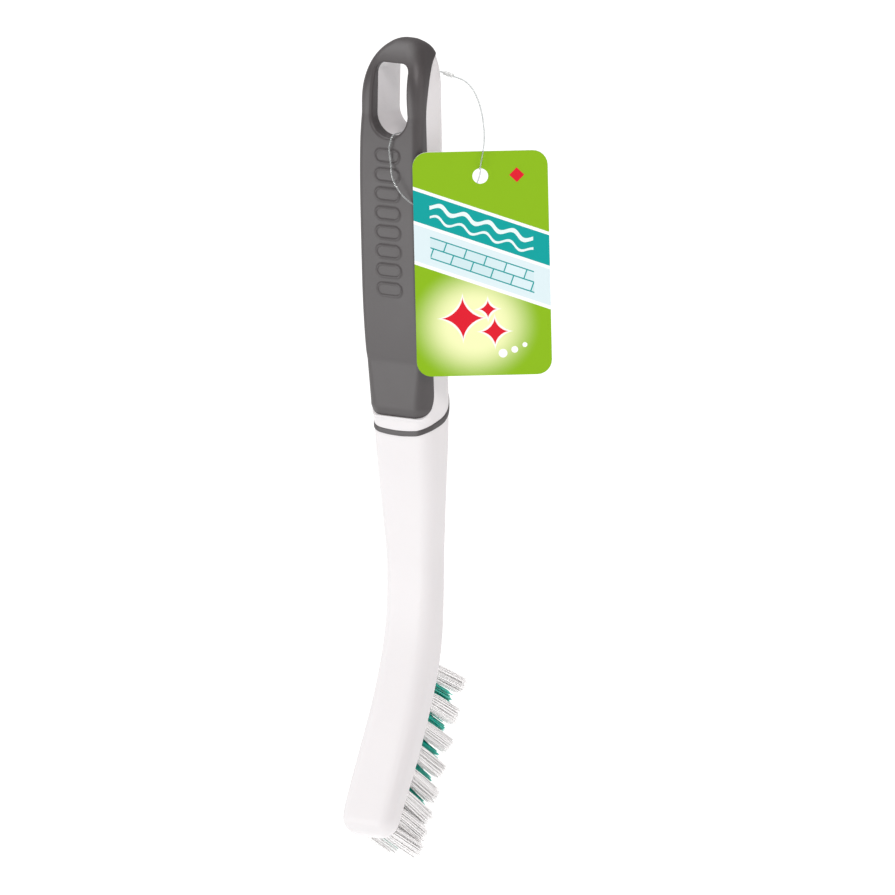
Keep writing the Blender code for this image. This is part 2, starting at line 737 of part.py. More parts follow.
def build_handle():
    """White core, soft grip and accent ring, cut to fit each other."""
    core = build_core_blank()
    grip = build_grip_blank()
    zone = cutter("grip_zone", prism_along_x("grip_zone", parting_profile(0.0), REACH))
    recess = cutter("grip_recess", prism_along_x("grip_recess", parting_profile(GAP), REACH))
    boss = boss_tool("hole_boss", 0.0, BACK_Y + HANDLE_DEPTH)
    pocket = boss_tool("boss_pocket", GAP, BACK_Y + HANDLE_DEPTH * 1.5)
    rib_top = SHOULDER_Z - HOLE_LENGTH
    rib_low = rib_top - RIB_LENGTH
    rib_face = PARTING_TOP_Y - RIB_HEIGHT
    rib = cutter("bonding_rib", prism_along_y(
        "bonding_rib", stadium(RIB_WIDTH, rib_top, rib_low), rib_face, PARTING_LOW_Y + RIB_HEIGHT,
    ))
    channel = cutter("rib_channel", prism_along_y(
        "rib_channel", stadium(RIB_WIDTH + 2 * GAP, rib_top + GAP, rib_low - GAP),
        rib_face - GAP, PARTING_LOW_Y + 2 * RIB_HEIGHT,
    ))
    combine(recess, boss, "DIFFERENCE", "Leave the boss")
    combine(recess, rib, "DIFFERENCE", "Leave the rib")
    hang_hole = hole_tool()
    groove = band(
        "ring_groove", None, -RING_DEPTH - GAP, RING_HEIGHT, RING_HEIGHT / 2 + GAP,
    )
    groove.hide_render = True
    groove.display_type = "WIRE"
    band("accent_ring", "grey", -RING_DEPTH, RING_PROUD, RING_HEIGHT / 2)
    tuft_holes, notches = build_tufts()
    for tool, label in ((recess, "Grip recess"), (hang_hole, "Hang hole"),
                        (groove, "Ring groove"), (tuft_holes, "Tuft holes"),
                        (notches, "Anchor notches")):
        combine(core, tool, "DIFFERENCE", label)
    combine(grip, zone, "INTERSECT", "Grip zone")
    combine(grip, pocket, "DIFFERENCE", "Boss pocket")
    combine(grip, channel, "DIFFERENCE", "Rib channel")
    combine(grip, hang_hole, "DIFFERENCE", "Hang hole")


def view_point(right, out, z):
    """Point given by its distance to the right and outwards in the card's own directions."""
    turn = TAG_FACING
    x = right * math.cos(turn) + out * math.sin(turn)
    y = right * math.sin(turn) - out * math.cos(turn)
    return Vector((x, y, z))


# The card hangs in front of the grip's right corner, with the strand between them
TAG_BACK = 0.0160
TAG_RIGHT = 0.0256
TAG_HOLE_Z = -0.0374
# The strand runs through the card's hole this far above its middle
TAG_HANG_UP = (TAG_HOLE_DIAMETER - FILAMENT_DIAMETER) / 2 - GAP - TAG_THICKNESS * 0.2


def tag_outline():
    """Card outline (across, up) about the middle of its hole, with round corners."""
    top = TAG_HOLE_DROP
    low = TAG_HOLE_DROP - TAG_HEIGHT
    half = TAG_WIDTH / 2
    corners = (
        (half - TAG_CORNER, top - TAG_CORNER, 0), (-half + TAG_CORNER, top - TAG_CORNER, 90),
        (-half + TAG_CORNER, low + TAG_CORNER, 180), (half - TAG_CORNER, low + TAG_CORNER, 270),
    )
    outline = []
    for across, up, start in corners:
        for step in range(7):
            turn = math.radians(start + 15 * step)
            outline.append((
                across + TAG_CORNER * math.cos(turn), up + TAG_CORNER * math.sin(turn),
            ))
    return outline


def build_tag():
    """Flat card with its punched hole. Its origin is the place where it hangs on the strand."""
    outline = tag_outline()
    rings = [[(a, -out, u) for a, u in outline] for out in (0.0, TAG_THICKNESS)]
    card = link("hang_tag", lofted("hang_tag", rings), "card", 0.4)
    for vertex in card.data.vertices:
        vertex.co.z -= TAG_HANG_UP
    radius = TAG_HOLE_DIAMETER / 2
    punch_mesh = round_bar("tag_punch", radius, -radius, radius, 20)
    punch_mesh.transform(Matrix.Rotation(math.pi / 2, 4, "X"))
    punch_mesh.transform(Matrix.Translation((0.0, 0.0, -TAG_HANG_UP)))
    place = Matrix.Translation(view_point(TAG_RIGHT, TAG_BACK, TAG_HOLE_Z + TAG_HANG_UP))
    place = place @ Matrix.Rotation(TAG_FACING, 4, "Z")
    card.matrix_world = place
    punch = cutter("tag_punch", punch_mesh)
    punch.matrix_world = place
    combine(card, punch, "DIFFERENCE", "Punched hole")


# The loop's route, from the lock round through the card and the hang hole and back to the lock.
# Each row is metres to the right and outwards as seen square to the card, and the height.
LOCK_START = (0.0178, 0.0004, -0.00605)
LOCK_END = (0.0134, -0.0039, -0.0051)
LOOP_START = (
    (0.0196, 0.0022, -0.0064),
    (0.0217, 0.0048, -0.0072),
    (0.0240, 0.0078, -0.0095),
    (0.0260, 0.0112, -0.0140),
    (0.0271, 0.0147, -0.0197),
    (0.0272, 0.0168, -0.0250),
    (0.0265, 0.0175, -0.0300),
    (0.0258, 0.0176, -0.0334),
)
# Steps outwards and up from the middle of the card's hole, where the strand goes through it
CROSSING = (
    (0.00110, 0.00072),
    (0.00035, 0.00023),
    (-0.00035, -0.00023),
    (-0.00110, -0.00072),
)
LOOP_BEHIND_CARD = (
    (0.0252, 0.0150, -0.0381),
    (0.0232, 0.0151, -0.0422),
    (0.0185, 0.0152, -0.0474),
    (0.0135, 0.0153, -0.0499),
    (0.0080, 0.0153, -0.0496),
    (0.0030, 0.0152, -0.0472),
    (-0.0010, 0.0148, -0.0438),
    (-0.0042, 0.0127, -0.0384),
)
# The part that crosses the handle, in metres along X, Y and Z
HOLE_ROUTE = (
    (0.0021, -0.0113, -0.0335),
    (0.0014, -0.0110, -0.0285),
    (0.0019, -0.0108, -0.0260),
    (0.0021, -0.0102, -0.02445),
    (0.0023, -0.0088, -0.0239),
    (0.0023, -0.0040, -0.0239),
    (0.0023, 0.0020, -0.0239),
    (0.0023, 0.0076, -0.0239),
    (0.0021, 0.0100, -0.0231),
    (0.0014, 0.0116, -0.0207),
    (0.0006, 0.0127, -0.0160),
    (0.0013, 0.0129, -0.0108),
    (0.0035, 0.0126, -0.0073),
    (0.0060, 0.0118, -0.0055),
)


def smooth_route(points, count):
    """Points along a smooth curve through the route's own points, closer where it turns."""
    points = np.array(points, dtype=float)
    chords = np.linalg.norm(np.diff(points, axis=0), axis=1) ** 0.5
    knots = np.concatenate(([0.0], np.cumsum(chords)))
    slopes = np.gradient(points, knots, axis=0)
    fine = []
    for place in range(len(points) - 1):
        width = knots[place + 1] - knots[place]
        for step in range(16):
            t = step / 16
            fine.append(
                points[place] * (2 * t ** 3 - 3 * t ** 2 + 1)
                + slopes[place] * width * (t ** 3 - 2 * t ** 2 + t)
                + points[place + 1] * (3 * t ** 2 - 2 * t ** 3)
                + slopes[place + 1] * width * (t ** 3 - t ** 2)
            )
    fine.append(points[-1])
    fine = np.array(fine)
    runs = np.diff(fine, axis=0)
    steps = np.linalg.norm(runs, axis=1)
    ways = runs / steps[:, None]
    turns = np.linalg.norm(np.diff(ways, axis=0), axis=1)
    turns = np.convolve(np.concatenate(([0.0], turns)), np.ones(9) / 9, mode="same")
    effort = np.concatenate(([0.0], np.cumsum(steps + TURN_LENGTH * turns)))
    wanted = np.linspace(0.0, effort[-1], count)
    return np.stack([np.interp(wanted, effort, fine[:, axis]) for axis in range(3)], axis=1)


def build_loop():
    """Filament from one face of the lock to the other, and the lock between its ends."""
    start = view_point(*LOCK_START)
    end = view_point(*LOCK_END)
    middle = (start + end) / 2
    along = (start - end).normalized()
    reach = LOCK_LENGTH / 2 + GAP
    first = middle + along * reach
    last = middle - along * reach
    lead = 1.7 * FILAMENT_DIAMETER
    route = [first, first + along * lead]
    route += [view_point(*row) for row in LOOP_START]
    card_middle = TAG_BACK + TAG_THICKNESS / 2
    route += [
        view_point(TAG_RIGHT, card_middle + out, TAG_HOLE_Z + TAG_HANG_UP + up)
        for out, up in CROSSING
    ]
    route += [view_point(*row) for row in LOOP_BEHIND_CARD]
    route += [Vector(row) for row in HOLE_ROUTE]
    route += [last - along * lead, last]
    points = smooth_route(route, CORD_POINTS)
    curve = bpy.data.curves.new("tag_loop", "CURVE")
    curve.dimensions = "3D"
    curve.bevel_depth = FILAMENT_DIAMETER / 2
    curve.bevel_resolution = 2
    curve.use_fill_caps = True
    spline = curve.splines.new("POLY")
    spline.points.add(len(points) - 1)
    for spot, point in zip(spline.points, points):
        spot.co = (*point, 1.0)
    curve.materials.append(material("filament"))
    loop = bpy.data.objects.new("tag_loop", curve)
    bpy.context.scene.collection.objects.link(loop)
    length = float(np.linalg.norm(np.diff(points, axis=0), axis=1).sum())
    print(f"Filament length {length * 1000:.1f} mm")
    radius = LOCK_DIAMETER / 2
    turns = [2 * math.pi * step / 10 for step in range(10)]
    half = LOCK_LENGTH / 2
    profile = (
        (0.62, -half), (0.92, -half * 0.86), (1.0, -half * 0.6), (1.0, half * 0.6),
        (0.92, half * 0.86), (0.62, half),
    )
    rings = [
        [(radius * size * math.cos(t), radius * size * math.sin(t), z) for t in turns]
        for size, z in profile
    ]
    lock = link("loop_lock", lofted("loop_lock", rings), "filament", 0.7)
    lock.matrix_world = Matrix.Translation(middle) @ along.to_track_quat("Z", "X").to_matrix().to_4x4()


remove_start_objects()
build_handle()
build_tag()
build_loop()
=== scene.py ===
import math

import bpy
import numpy as np
from mathutils import Matrix, Vector


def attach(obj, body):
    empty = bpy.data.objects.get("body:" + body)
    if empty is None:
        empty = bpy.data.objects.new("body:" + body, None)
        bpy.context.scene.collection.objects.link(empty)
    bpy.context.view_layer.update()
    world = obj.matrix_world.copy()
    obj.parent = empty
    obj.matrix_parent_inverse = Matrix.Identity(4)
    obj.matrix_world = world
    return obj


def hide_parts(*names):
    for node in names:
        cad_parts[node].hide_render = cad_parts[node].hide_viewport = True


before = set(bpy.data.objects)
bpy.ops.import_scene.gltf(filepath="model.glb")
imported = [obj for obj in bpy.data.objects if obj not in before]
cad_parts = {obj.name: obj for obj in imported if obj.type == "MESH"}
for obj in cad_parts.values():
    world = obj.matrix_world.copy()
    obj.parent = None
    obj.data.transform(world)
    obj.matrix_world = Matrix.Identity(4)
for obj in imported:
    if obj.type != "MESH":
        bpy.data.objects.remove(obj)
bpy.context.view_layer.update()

# Camera. The photograph looks a little down on the brush's right front corner, from far away
# with a long lens, so that its upright edges stay nearly parallel.
VIEW_TURN = math.radians(35.0)
VIEW_TIP = math.radians(12.0)
VIEW_ROLL = 0.0227
VIEW_DISTANCE = 10.142
VIEW_MIDDLE = (0.01238, -0.13193)

view_right = Vector((math.cos(VIEW_TURN), math.sin(VIEW_TURN), 0.0))
view_back = Vector((
    math.sin(VIEW_TURN) * math.cos(VIEW_TIP), -math.cos(VIEW_TURN) * math.cos(VIEW_TIP),
    math.sin(VIEW_TIP),
))
view_up = view_back.cross(view_right)
camera = bpy.data.objects.new("camera", bpy.data.cameras.new("camera"))
camera.data.lens = 1200.0
camera.data.sensor_width = 36.0
camera.data.clip_start = 0.5
camera.data.clip_end = 60.0
camera_right = (view_right - view_up * VIEW_ROLL).normalized()
camera_up = view_back.cross(camera_right)
camera.rotation_euler = Matrix((camera_right, camera_up, view_back)).transposed().to_euler()
camera.location = (
    view_right * VIEW_MIDDLE[0] + view_up * VIEW_MIDDLE[1] + view_back * VIEW_DISTANCE
)
bpy.context.scene.collection.objects.link(camera)
bpy.context.scene.camera = camera


# Filament loop. Clear nylon monofilament 0.5 mm thick, drawn round and cut from the reel. It runs
# from the lock through the card's hole and the hang hole and back, and both ends sit in the lock.
FILAMENT_DIAMETER = 0.0005
STRAIGHT_END = 2.4 * FILAMENT_DIAMETER
ROUTE_POINTS = 260
LOCK_LENGTH = 0.0046
LOCK_DIAMETER = 0.0017
LOCK_SEAT = 0.0004
CARD_TURN = math.radians(35.0)
CARD_BACK = 0.0160
CARD_RIGHT = 0.0256
CARD_THICKNESS = 0.0005
CARD_HANG_Z = -0.03535
LOCK_ENDS = ((0.0178, 0.0004, -0.00605), (0.0134, -0.0039, -0.0051))
# Metres to the right and outwards as seen square to the card, and the height
OVER_THE_CARD = (
    (0.0196, 0.0022, -0.0064), (0.0217, 0.0048, -0.0072), (0.0240, 0.0078, -0.0095),
    (0.0260, 0.0112, -0.0140), (0.0271, 0.0147, -0.0197), (0.0272, 0.0168, -0.0250),
    (0.0265, 0.0175, -0.0300), (0.0258, 0.0176, -0.0334),
)
THROUGH_THE_CARD = (
    (0.00110, 0.00072), (0.00035, 0.00023), (-0.00035, -0.00023), (-0.00110, -0.00072),
)
BEHIND_THE_CARD = (
    (0.0252, 0.0150, -0.0381), (0.0232, 0.0151, -0.0422), (0.0185, 0.0152, -0.0474),
    (0.0135, 0.0153, -0.0499), (0.0080, 0.0153, -0.0496), (0.0030, 0.0152, -0.0472),
    (-0.0010, 0.0148, -0.0438), (-0.0042, 0.0127, -0.0384),
)
# Metres along X, Y and Z, up the thumb side and through the hang hole
ACROSS_THE_HANDLE = (
    (0.0021, -0.0113, -0.0335), (0.0014, -0.0110, -0.0285), (0.0019, -0.0108, -0.0260),
    (0.0021, -0.0102, -0.02445), (0.0023, -0.0088, -0.0239), (0.0023, -0.0040, -0.0239),
    (0.0023, 0.0020, -0.0239), (0.0023, 0.0076, -0.0239), (0.0021, 0.0100, -0.0231),
    (0.0014, 0.0116, -0.0207), (0.0006, 0.0127, -0.0160), (0.0013, 0.0129, -0.0108),
    (0.0035, 0.0126, -0.0073), (0.0060, 0.0118, -0.0055),
)


def from_card_directions(rows):
    """Points x, y, z: right times (cos, sin, 0) and out times (sin, -cos, 0) of the card's turn."""
    right, out, height = np.array(rows, dtype=float).T
    return np.stack((
        right * math.cos(CARD_TURN) + out * math.sin(CARD_TURN),
        right * math.sin(CARD_TURN) - out * math.cos(CARD_TURN), height,
    ), axis=1)


def smooth_route(points, count):
    """Cubic pieces through the points, whose slopes come from both neighbours over knots spaced by
    the root of the chord. The result is spread evenly by length."""
    chords = np.linalg.norm(np.diff(points, axis=0), axis=1) ** 0.5
    knots = np.concatenate(([0.0], np.cumsum(chords)))
    slopes = np.gradient(points, knots, axis=0)
    t = (np.arange(24) / 24)[None, :, None]
    width = chords[:, None, None]
    pieces = (
        points[:-1, None] * (2 * t ** 3 - 3 * t ** 2 + 1)
        + slopes[:-1, None] * width * (t ** 3 - 2 * t ** 2 + t)
        + points[1:, None] * (3 * t ** 2 - 2 * t ** 3)
        + slopes[1:, None] * width * (t ** 3 - t ** 2)
    )
    fine = np.concatenate((pieces.reshape(-1, 3), points[-1:]))
    steps = np.linalg.norm(np.diff(fine, axis=0), axis=1)
    run = np.concatenate(([0.0], np.cumsum(steps)))
    wanted = np.linspace(0.0, run[-1], count)
    return np.stack([np.interp(wanted, run, fine[:, axis]) for axis in range(3)], axis=1)


lock_start, lock_end = from_card_directions(LOCK_ENDS)
lock_middle = (lock_start + lock_end) / 2
lock_way = (lock_start - lock_end) / np.linalg.norm(lock_start - lock_end)
filament_reach = LOCK_LENGTH / 2 - LOCK_SEAT
straight_reach = filament_reach + STRAIGHT_END
card_middle = CARD_BACK + CARD_THICKNESS / 2
through = [(CARD_RIGHT, card_middle + out, CARD_HANG_Z + up) for out, up in THROUGH_THE_CARD]
loop_points = smooth_route(np.concatenate((
    (lock_middle + lock_way * filament_reach)[None],
    (lock_middle + lock_way * straight_reach)[None],
    from_card_directions(OVER_THE_CARD), from_card_directions(through),
    from_card_directions(BEHIND_THE_CARD), np.array(ACROSS_THE_HANDLE),
    (lock_middle - lock_way * straight_reach)[None],
    (lock_middle - lock_way * filament_reach)[None],
)), ROUTE_POINTS)
loop_curve = bpy.data.curves.new("loop_filament", "CURVE")
loop_curve.dimensions = "3D"
loop_curve.bevel_depth = FILAMENT_DIAMETER / 2
loop_curve.bevel_resolution = 3
loop_curve.use_fill_caps = True
loop_line = loop_curve.splines.new("POLY")
loop_line.points.add(len(loop_points) - 1)
loop_line.points.foreach_set(
    "co", np.concatenate((loop_points, np.ones((len(loop_points), 1))), axis=1).ravel(),
)
loop_filament = bpy.data.objects.new("loop_filament", loop_curve)
bpy.context.scene.collection.objects.link(loop_filament)


def linear(code):
    """Linear colour of an sRGB hex value: c / 12.92 up to 0.04045, and above it
    ((c + 0.055) / 1.055) ^ 2.4."""
    parts = [int(code[place:place + 2], 16) / 255 for place in (0, 2, 4)]
    turned = [c / 12.92 if c <= 0.04045 else ((c + 0.055) / 1.055) ** 2.4 for c in parts]
    return (*turned, 1.0)


def start_material(name):
    """New material, its node tree and its shader."""
    made = bpy.data.materials.new(name)
    made.use_nodes = True
    return made, made.node_tree, made.node_tree.nodes["Principled BSDF"]


def fill(tree, node, values):
    """Links the values that are outputs, or nodes, whose first output it takes. Sets the rest
    straight on the node's sockets, by name or number, or else on its properties."""
    for name, value in values.items():
        if isinstance(value, bpy.types.Node):
            value = value.outputs[0]
        if isinstance(value, bpy.types.NodeSocket):
            tree.links.new(value, node.inputs[name])
        elif isinstance(name, int) or name in node.inputs:
            node.inputs[name].default_value = value
        else:
            setattr(node, name, value)


def add(tree, kind, values):
    """Adds a node with its settings and links."""
    made = tree.nodes.new(kind)
    fill(tree, made, values)
    return made


# Nylon drawn through a die: clear with a milky core, and faint ripples along its length
nylon, tree, shader = start_material("nylon_drawn_clear")
place = add(tree, "ShaderNodeTexCoord", {}).outputs["Object"]
ripple = add(tree, "ShaderNodeTexNoise", {"Scale": 900.0, "Detail": 2.0, "Vector": place})
tone = add(tree, "ShaderNodeMix", {
    "data_type": "RGBA", 0: ripple, 6: linear("C9CFCF"), 7: linear("E4E8E7"),
})
bump = add(tree, "ShaderNodeBump", {"Strength": 0.12, "Distance": 0.00002, "Height": ripple})
fill(tree, shader, {
    "Base Color": tone.outputs[2], "Normal": bump, "Roughness": 0.18, "IOR": 1.53,
    "Transmission Weight": 0.75,
})
loop_curve.materials.append(nylon)
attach(loop_filament, "loop")
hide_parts("tag_loop")


# Loop lock. A small barrel of milky nylon, moulded in one shot with a collar at each end and a
# waist ring. The two ends of the filament snap into it from either side.
LOCK_SIDES = 32
LOCK_PROFILE = (
    (0.05, -0.50), (0.40, -0.50), (0.62, -0.485), (0.80, -0.45), (0.90, -0.40), (0.93, -0.34),
    (0.86, -0.30), (0.80, -0.25), (0.80, -0.10), (0.93, -0.07), (1.00, -0.03), (1.00, 0.03),
    (0.93, 0.07), (0.80, 0.10), (0.80, 0.25), (0.86, 0.30), (0.93, 0.34), (0.90, 0.40),
    (0.80, 0.45), (0.62, 0.485), (0.40, 0.50), (0.05, 0.50),
)


def grid_faces(rows, columns, wrapped):
    """Quads of a grid of rows and columns, wrapped round across its columns where asked."""
    across = columns if wrapped else columns - 1
    row, column = np.meshgrid(np.arange(rows - 1), np.arange(across), indexing="ij")
    after = (column + 1) % columns
    return np.stack((
        row * columns + column, row * columns + after,
        (row + 1) * columns + after, (row + 1) * columns + column,
    ), axis=-1).reshape(-1, 4)


def put_mesh(name, points, faces, finish, crease=0.6):
    """Object at the origin with these points and faces, shaded smooth below the crease angle."""
    mesh = bpy.data.meshes.new(name)
    mesh.from_pydata(points.tolist(), [], [list(map(int, face)) for face in faces])
    mesh.validate()
    if finish:
        mesh.materials.append(finish)
    mesh.shade_smooth()
    mesh.set_sharp_from_angle(angle=crease)
    made = bpy.data.objects.new(name, mesh)
    bpy.context.scene.collection.objects.link(made)
    return made


def skin(name, rings, finish, crease=0.6):
    """Closed surface over an array of rings (rows, points, 3): quads between them, and a cap at
    each end."""
    rows, columns = rings.shape[:2]
    faces = [list(face) for face in grid_faces(rows, columns, True)]
    faces.append(list(range(columns))[::-1])
    faces.append(list(range((rows - 1) * columns, rows * columns)))
    return put_mesh(name, rings.reshape(-1, 3), faces, finish, crease)


def full_turn(count):
    """Angles that part a full turn evenly."""
    return np.linspace(0.0, 2 * np.pi, count + 1)[:-1]


profile = np.array(LOCK_PROFILE)
turns = full_turn(LOCK_SIDES)
side = np.cross(lock_way, (0.0, 0.0, 1.0))
side /= np.linalg.norm(side)
other = np.cross(lock_way, side)
barrel = (
    lock_middle + lock_way * (profile[:, 1:, None] * LOCK_LENGTH)
    + (profile[:, :1, None] * LOCK_DIAMETER / 2)
    * (np.cos(turns)[None, :, None] * side + np.sin(turns)[None, :, None] * other)
)
# Milky nylon straight from the mould, with a soft gloss and a trace of flow marks
milky, tree, shader = start_material("nylon_moulded_milky")
place = add(tree, "ShaderNodeTexCoord", {}).outputs["Object"]
flow = add(tree, "ShaderNodeTexNoise", {
    "Scale": 500.0, "Detail": 3.0, "Distortion": 0.6, "Vector": place,
})
tone = add(tree, "ShaderNodeMix", {
    "data_type": "RGBA", 0: flow, 6: linear("D2D6D5"), 7: linear("ECEEEC"),
})
bump = add(tree, "ShaderNodeBump", {"Strength": 0.3, "Distance": 0.00003, "Height": flow})
fill(tree, shader, {
    "Base Color": tone.outputs[2], "Normal": bump, "Roughness": 0.30, "IOR": 1.53,
    "Transmission Weight": 0.15,
})
lock_barrel = skin("lock_barrel", barrel[:, ::-1], milky, 0.9)
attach(lock_barrel, "loop")
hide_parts("loop_lock")


# Handle core. One white polypropylene moulding, polished in the mould: the backing of the grip, the
# collar, the bowed neck and the bent head. The tuft holes are drilled into its bristle face.
HANDLE_WIDTH = 0.0248
HANDLE_DEPTH = 0.0174
TOP_RISE = 0.0072
TOP_ARCH = 0.0210
GRIP_END = 0.1224
FRONT_CORNER = 0.0030
BACK_CORNER = 0.0060
TOP_FRONT_CORNER = 0.0044
TOP_BACK_CORNER = 0.0034
GRIP_WALL = 0.0040
GRIP_PROUD = 0.00035
GRIP_BELLY = 0.0019
GRIP_CHAMFER = 0.0034
HOLE_LENGTH = 0.0250
HOLE_WIDTH = 0.0146
HOLE_TOP_WIDTH = 0.0132
HOLE_TOP_CORNER = 0.0030
HOLE_RIM = 0.0011
BOSS_WALL = 0.0021
COLLAR_HEIGHT = 0.0048
RING_HEIGHT = 0.0019
RING_DEPTH = 0.0010
RING_PROUD = 0.0002
RING_SIDE_RISE = 0.0030
RING_BACK_RISE = 0.0108
RING_BOW = 0.0014
RING_GROWTH = 0.4
RING_ROUNDS = 20
RING_STEPS = 12
COLLAR_WIDTH = 0.0238
COLLAR_DEPTH = 0.0164
NECK_WIDTH = 0.0190
NECK_DEPTH = 0.0125
HEAD_WIDTH = 0.0210
HEAD_DEPTH = 0.0108
LOWER_LENGTH = 0.1409
HEAD_THROW = 0.0335
NECK_CORNER = 0.0037
HEAD_CORNER = 0.0052
BRISTLE_FACE_CORNER = 0.0022
END_CORNER = 0.0064
TUFTS_IN_ROW = 8
TUFT_PITCH = 0.0100
PITCH_LOSS = 0.0005
ROW_SPACING = 0.0042
FIRST_TUFT = 0.6080
TUFT_HOLE_DIAMETER = 0.0042
TUFT_HOLE_DEPTH = 0.0052
TUFT_HOLE_SIDES = 28
ROW_LEAN = math.radians(2.0)
TUFT_SLANT = math.radians(6.3)
GAP = 0.0001
ARCH_POWER = 2.4
CREST_SHARE = 0.47
BACK_ROLL_START = 0.76
BELLY_POWER = 3.2
CHAMFER_POWER = 1.5
FOOT_POWER = 1.25

SHOULDER_Z = TOP_RISE - TOP_ARCH
GRIP_END_Z = -GRIP_END
LOWER_START_Z = GRIP_END_Z - GRIP_CHAMFER * 0.32
BACK_Y = HANDLE_DEPTH / 2 * 1.023
FRONT_Y = BACK_Y - HANDLE_DEPTH
PARTING_TOP_Y = FRONT_Y - GRIP_PROUD + GRIP_WALL
PARTING_LOW_Y = PARTING_TOP_Y + GRIP_WALL * 0.25
REACH = HANDLE_WIDTH * 1.2
CENTRE_LINE = (
    (0.000, -0.012), (0.160, -0.018), (0.350, -0.036), (0.450, -0.008), (0.550, 0.068),
    (0.646, 0.208), (0.740, 0.388), (0.833, 0.597), (0.913, 0.785), (0.956, 0.874),
    (0.984, 0.922), (1.000, 0.942),
)
LOWER_SIZES = (
    (0.000, COLLAR_WIDTH, COLLAR_DEPTH),
    (0.064, COLLAR_WIDTH * 0.985, COLLAR_DEPTH * 0.945),
    (0.160, COLLAR_WIDTH * 0.950, NECK_DEPTH * 1.080),
    (0.260, NECK_WIDTH * 1.095, NECK_DEPTH * 1.010),
    (0.355, NECK_WIDTH, NECK_DEPTH),
    (0.455, NECK_WIDTH * 1.010, NECK_DEPTH * 0.935),
    (0.600, HEAD_WIDTH * 0.955, HEAD_DEPTH * 1.045),
    (0.740, HEAD_WIDTH * 0.985, HEAD_DEPTH * 0.970),
    (0.833, HEAD_WIDTH, HEAD_DEPTH * 0.925),
    (0.905, HEAD_WIDTH, HEAD_DEPTH * 0.840),
    (1.000, HEAD_WIDTH * 0.985, HEAD_DEPTH * 0.700),
)


def eased(rows, column, share):
    """Value of a column at each share: cubic pieces through the rows, level where the rows turn
    back, else with a slope between those of both neighbouring spans."""
    xs = np.array([row[0] for row in rows])
    ys = np.array([row[column] for row in rows])
    steps = np.diff(xs)
    slopes = np.diff(ys) / steps
    weight = steps[1:] / (steps[1:] + steps[:-1])
    mean = weight * slopes[:-1] + (1 - weight) * slopes[1:]
    inner = np.where(slopes[:-1] * slopes[1:] > 0, mean, 0.0)
    bends = np.concatenate((slopes[:1], inner, slopes[-1:]))
    row = np.clip(np.searchsorted(xs, share) - 1, 0, len(xs) - 2)
    width = steps[row]
    t = (share - xs[row]) / width
    return (
        ys[row] * (2 * t ** 3 - 3 * t ** 2 + 1) + bends[row] * width * (t ** 3 - 2 * t ** 2 + t)
        + ys[row + 1] * (3 * t ** 2 - 2 * t ** 3) + bends[row + 1] * width * (t ** 3 - t ** 2)
    )


def rounded_sections(half_width, front, back, front_corner, back_corner, steps, flats):
    """Rectangles with round corners, one per row: four quarter circles about the corners' centres,
    with evenly spaced points on the right, back, left and front flats between them."""
    limit = np.minimum(half_width, (back - front) / 2) * 0.96
    front_corner = np.minimum(front_corner, limit)
    back_corner = np.minimum(back_corner, limit)
    corners = (
        (half_width - front_corner, front + front_corner, front_corner, -90),
        (half_width - back_corner, back - back_corner, back_corner, 0),
        (back_corner - half_width, back - back_corner, back_corner, 90),
        (front_corner - half_width, front + front_corner, front_corner, 180),
    )
    turn = np.radians(np.linspace(0, 90, steps + 1))
    arcs = [
        np.stack((
            x[:, None] + radius[:, None] * np.cos(turn + math.radians(start)),
            y[:, None] + radius[:, None] * np.sin(turn + math.radians(start)),
        ), axis=-1)
        for x, y, radius, start in corners
    ]
    parts = []
    for index, count in enumerate(flats):
        share = np.linspace(0, 1, count + 2)[1:-1][None, :, None]
        here = arcs[index][:, -1:]
        parts += [arcs[index], here + (arcs[(index + 1) % 4][:, :1] - here) * share]
    return np.concatenate(parts, axis=1)


def upper_sizes(z, proud):
    """Half width, front and back at each height: a superellipse arch in width, a quarter ellipse
    rolled over from the front, and a short one from the back, grown by a margin."""
    rise = np.clip((z - SHOULDER_Z) / TOP_ARCH, 0.0, 1.0) * (1.0 - 0.0006)
    arch = (1.0 - rise ** ARCH_POWER) ** (1 / ARCH_POWER)
    crest_y = HANDLE_DEPTH / 2 * CREST_SHARE
    front = crest_y - (crest_y - FRONT_Y) * np.sqrt(1.0 - rise ** 2)
    back_rise = np.maximum(rise - BACK_ROLL_START, 0.0) / (1.0 - BACK_ROLL_START)
    back = crest_y + (BACK_Y - crest_y) * np.sqrt(1.0 - back_rise ** 2)
    return HANDLE_WIDTH / 2 * arch + proud, front - proud, back + proud


def top_corners(z):
    """Corner radii of front and back, changing in a straight line up the round end."""
    front_share = np.clip((z - SHOULDER_Z) / (TOP_ARCH * 1.14) + 0.5, 0.0, 1.0)
    back_share = np.clip((z - SHOULDER_Z) / TOP_ARCH, 0.0, 1.0)
    return (
        FRONT_CORNER + (TOP_FRONT_CORNER - FRONT_CORNER) * front_share,
        BACK_CORNER + (TOP_BACK_CORNER - BACK_CORNER) * back_share,
    )


def core_sections(z, steps, flats):
    """Sections of the white body behind the grip, which narrows by a cubic share to the collar."""
    half_width, front, back = upper_sizes(z, 0.0)
    low = np.clip((z + GRIP_END * 0.55) / (-GRIP_END * 0.45), 0.0, 1.0)
    half_width = half_width + (COLLAR_WIDTH / 2 - HANDLE_WIDTH / 2) * low ** 3
    front_corner, back_corner = top_corners(z)
    front_corner = front_corner + (NECK_CORNER * 1.20 - front_corner) * low ** 3
    back_corner = back_corner + (NECK_CORNER * 1.12 - back_corner) * low ** 2
    return rounded_sections(half_width, front, back, front_corner, back_corner, steps, flats)


def lower_points(share):
    """Centre line (y, z) of neck and head at each share of the length."""
    return np.stack((
        -eased(CENTRE_LINE, 1, share) * HEAD_THROW, LOWER_START_Z - share * LOWER_LENGTH,
    ), axis=-1)


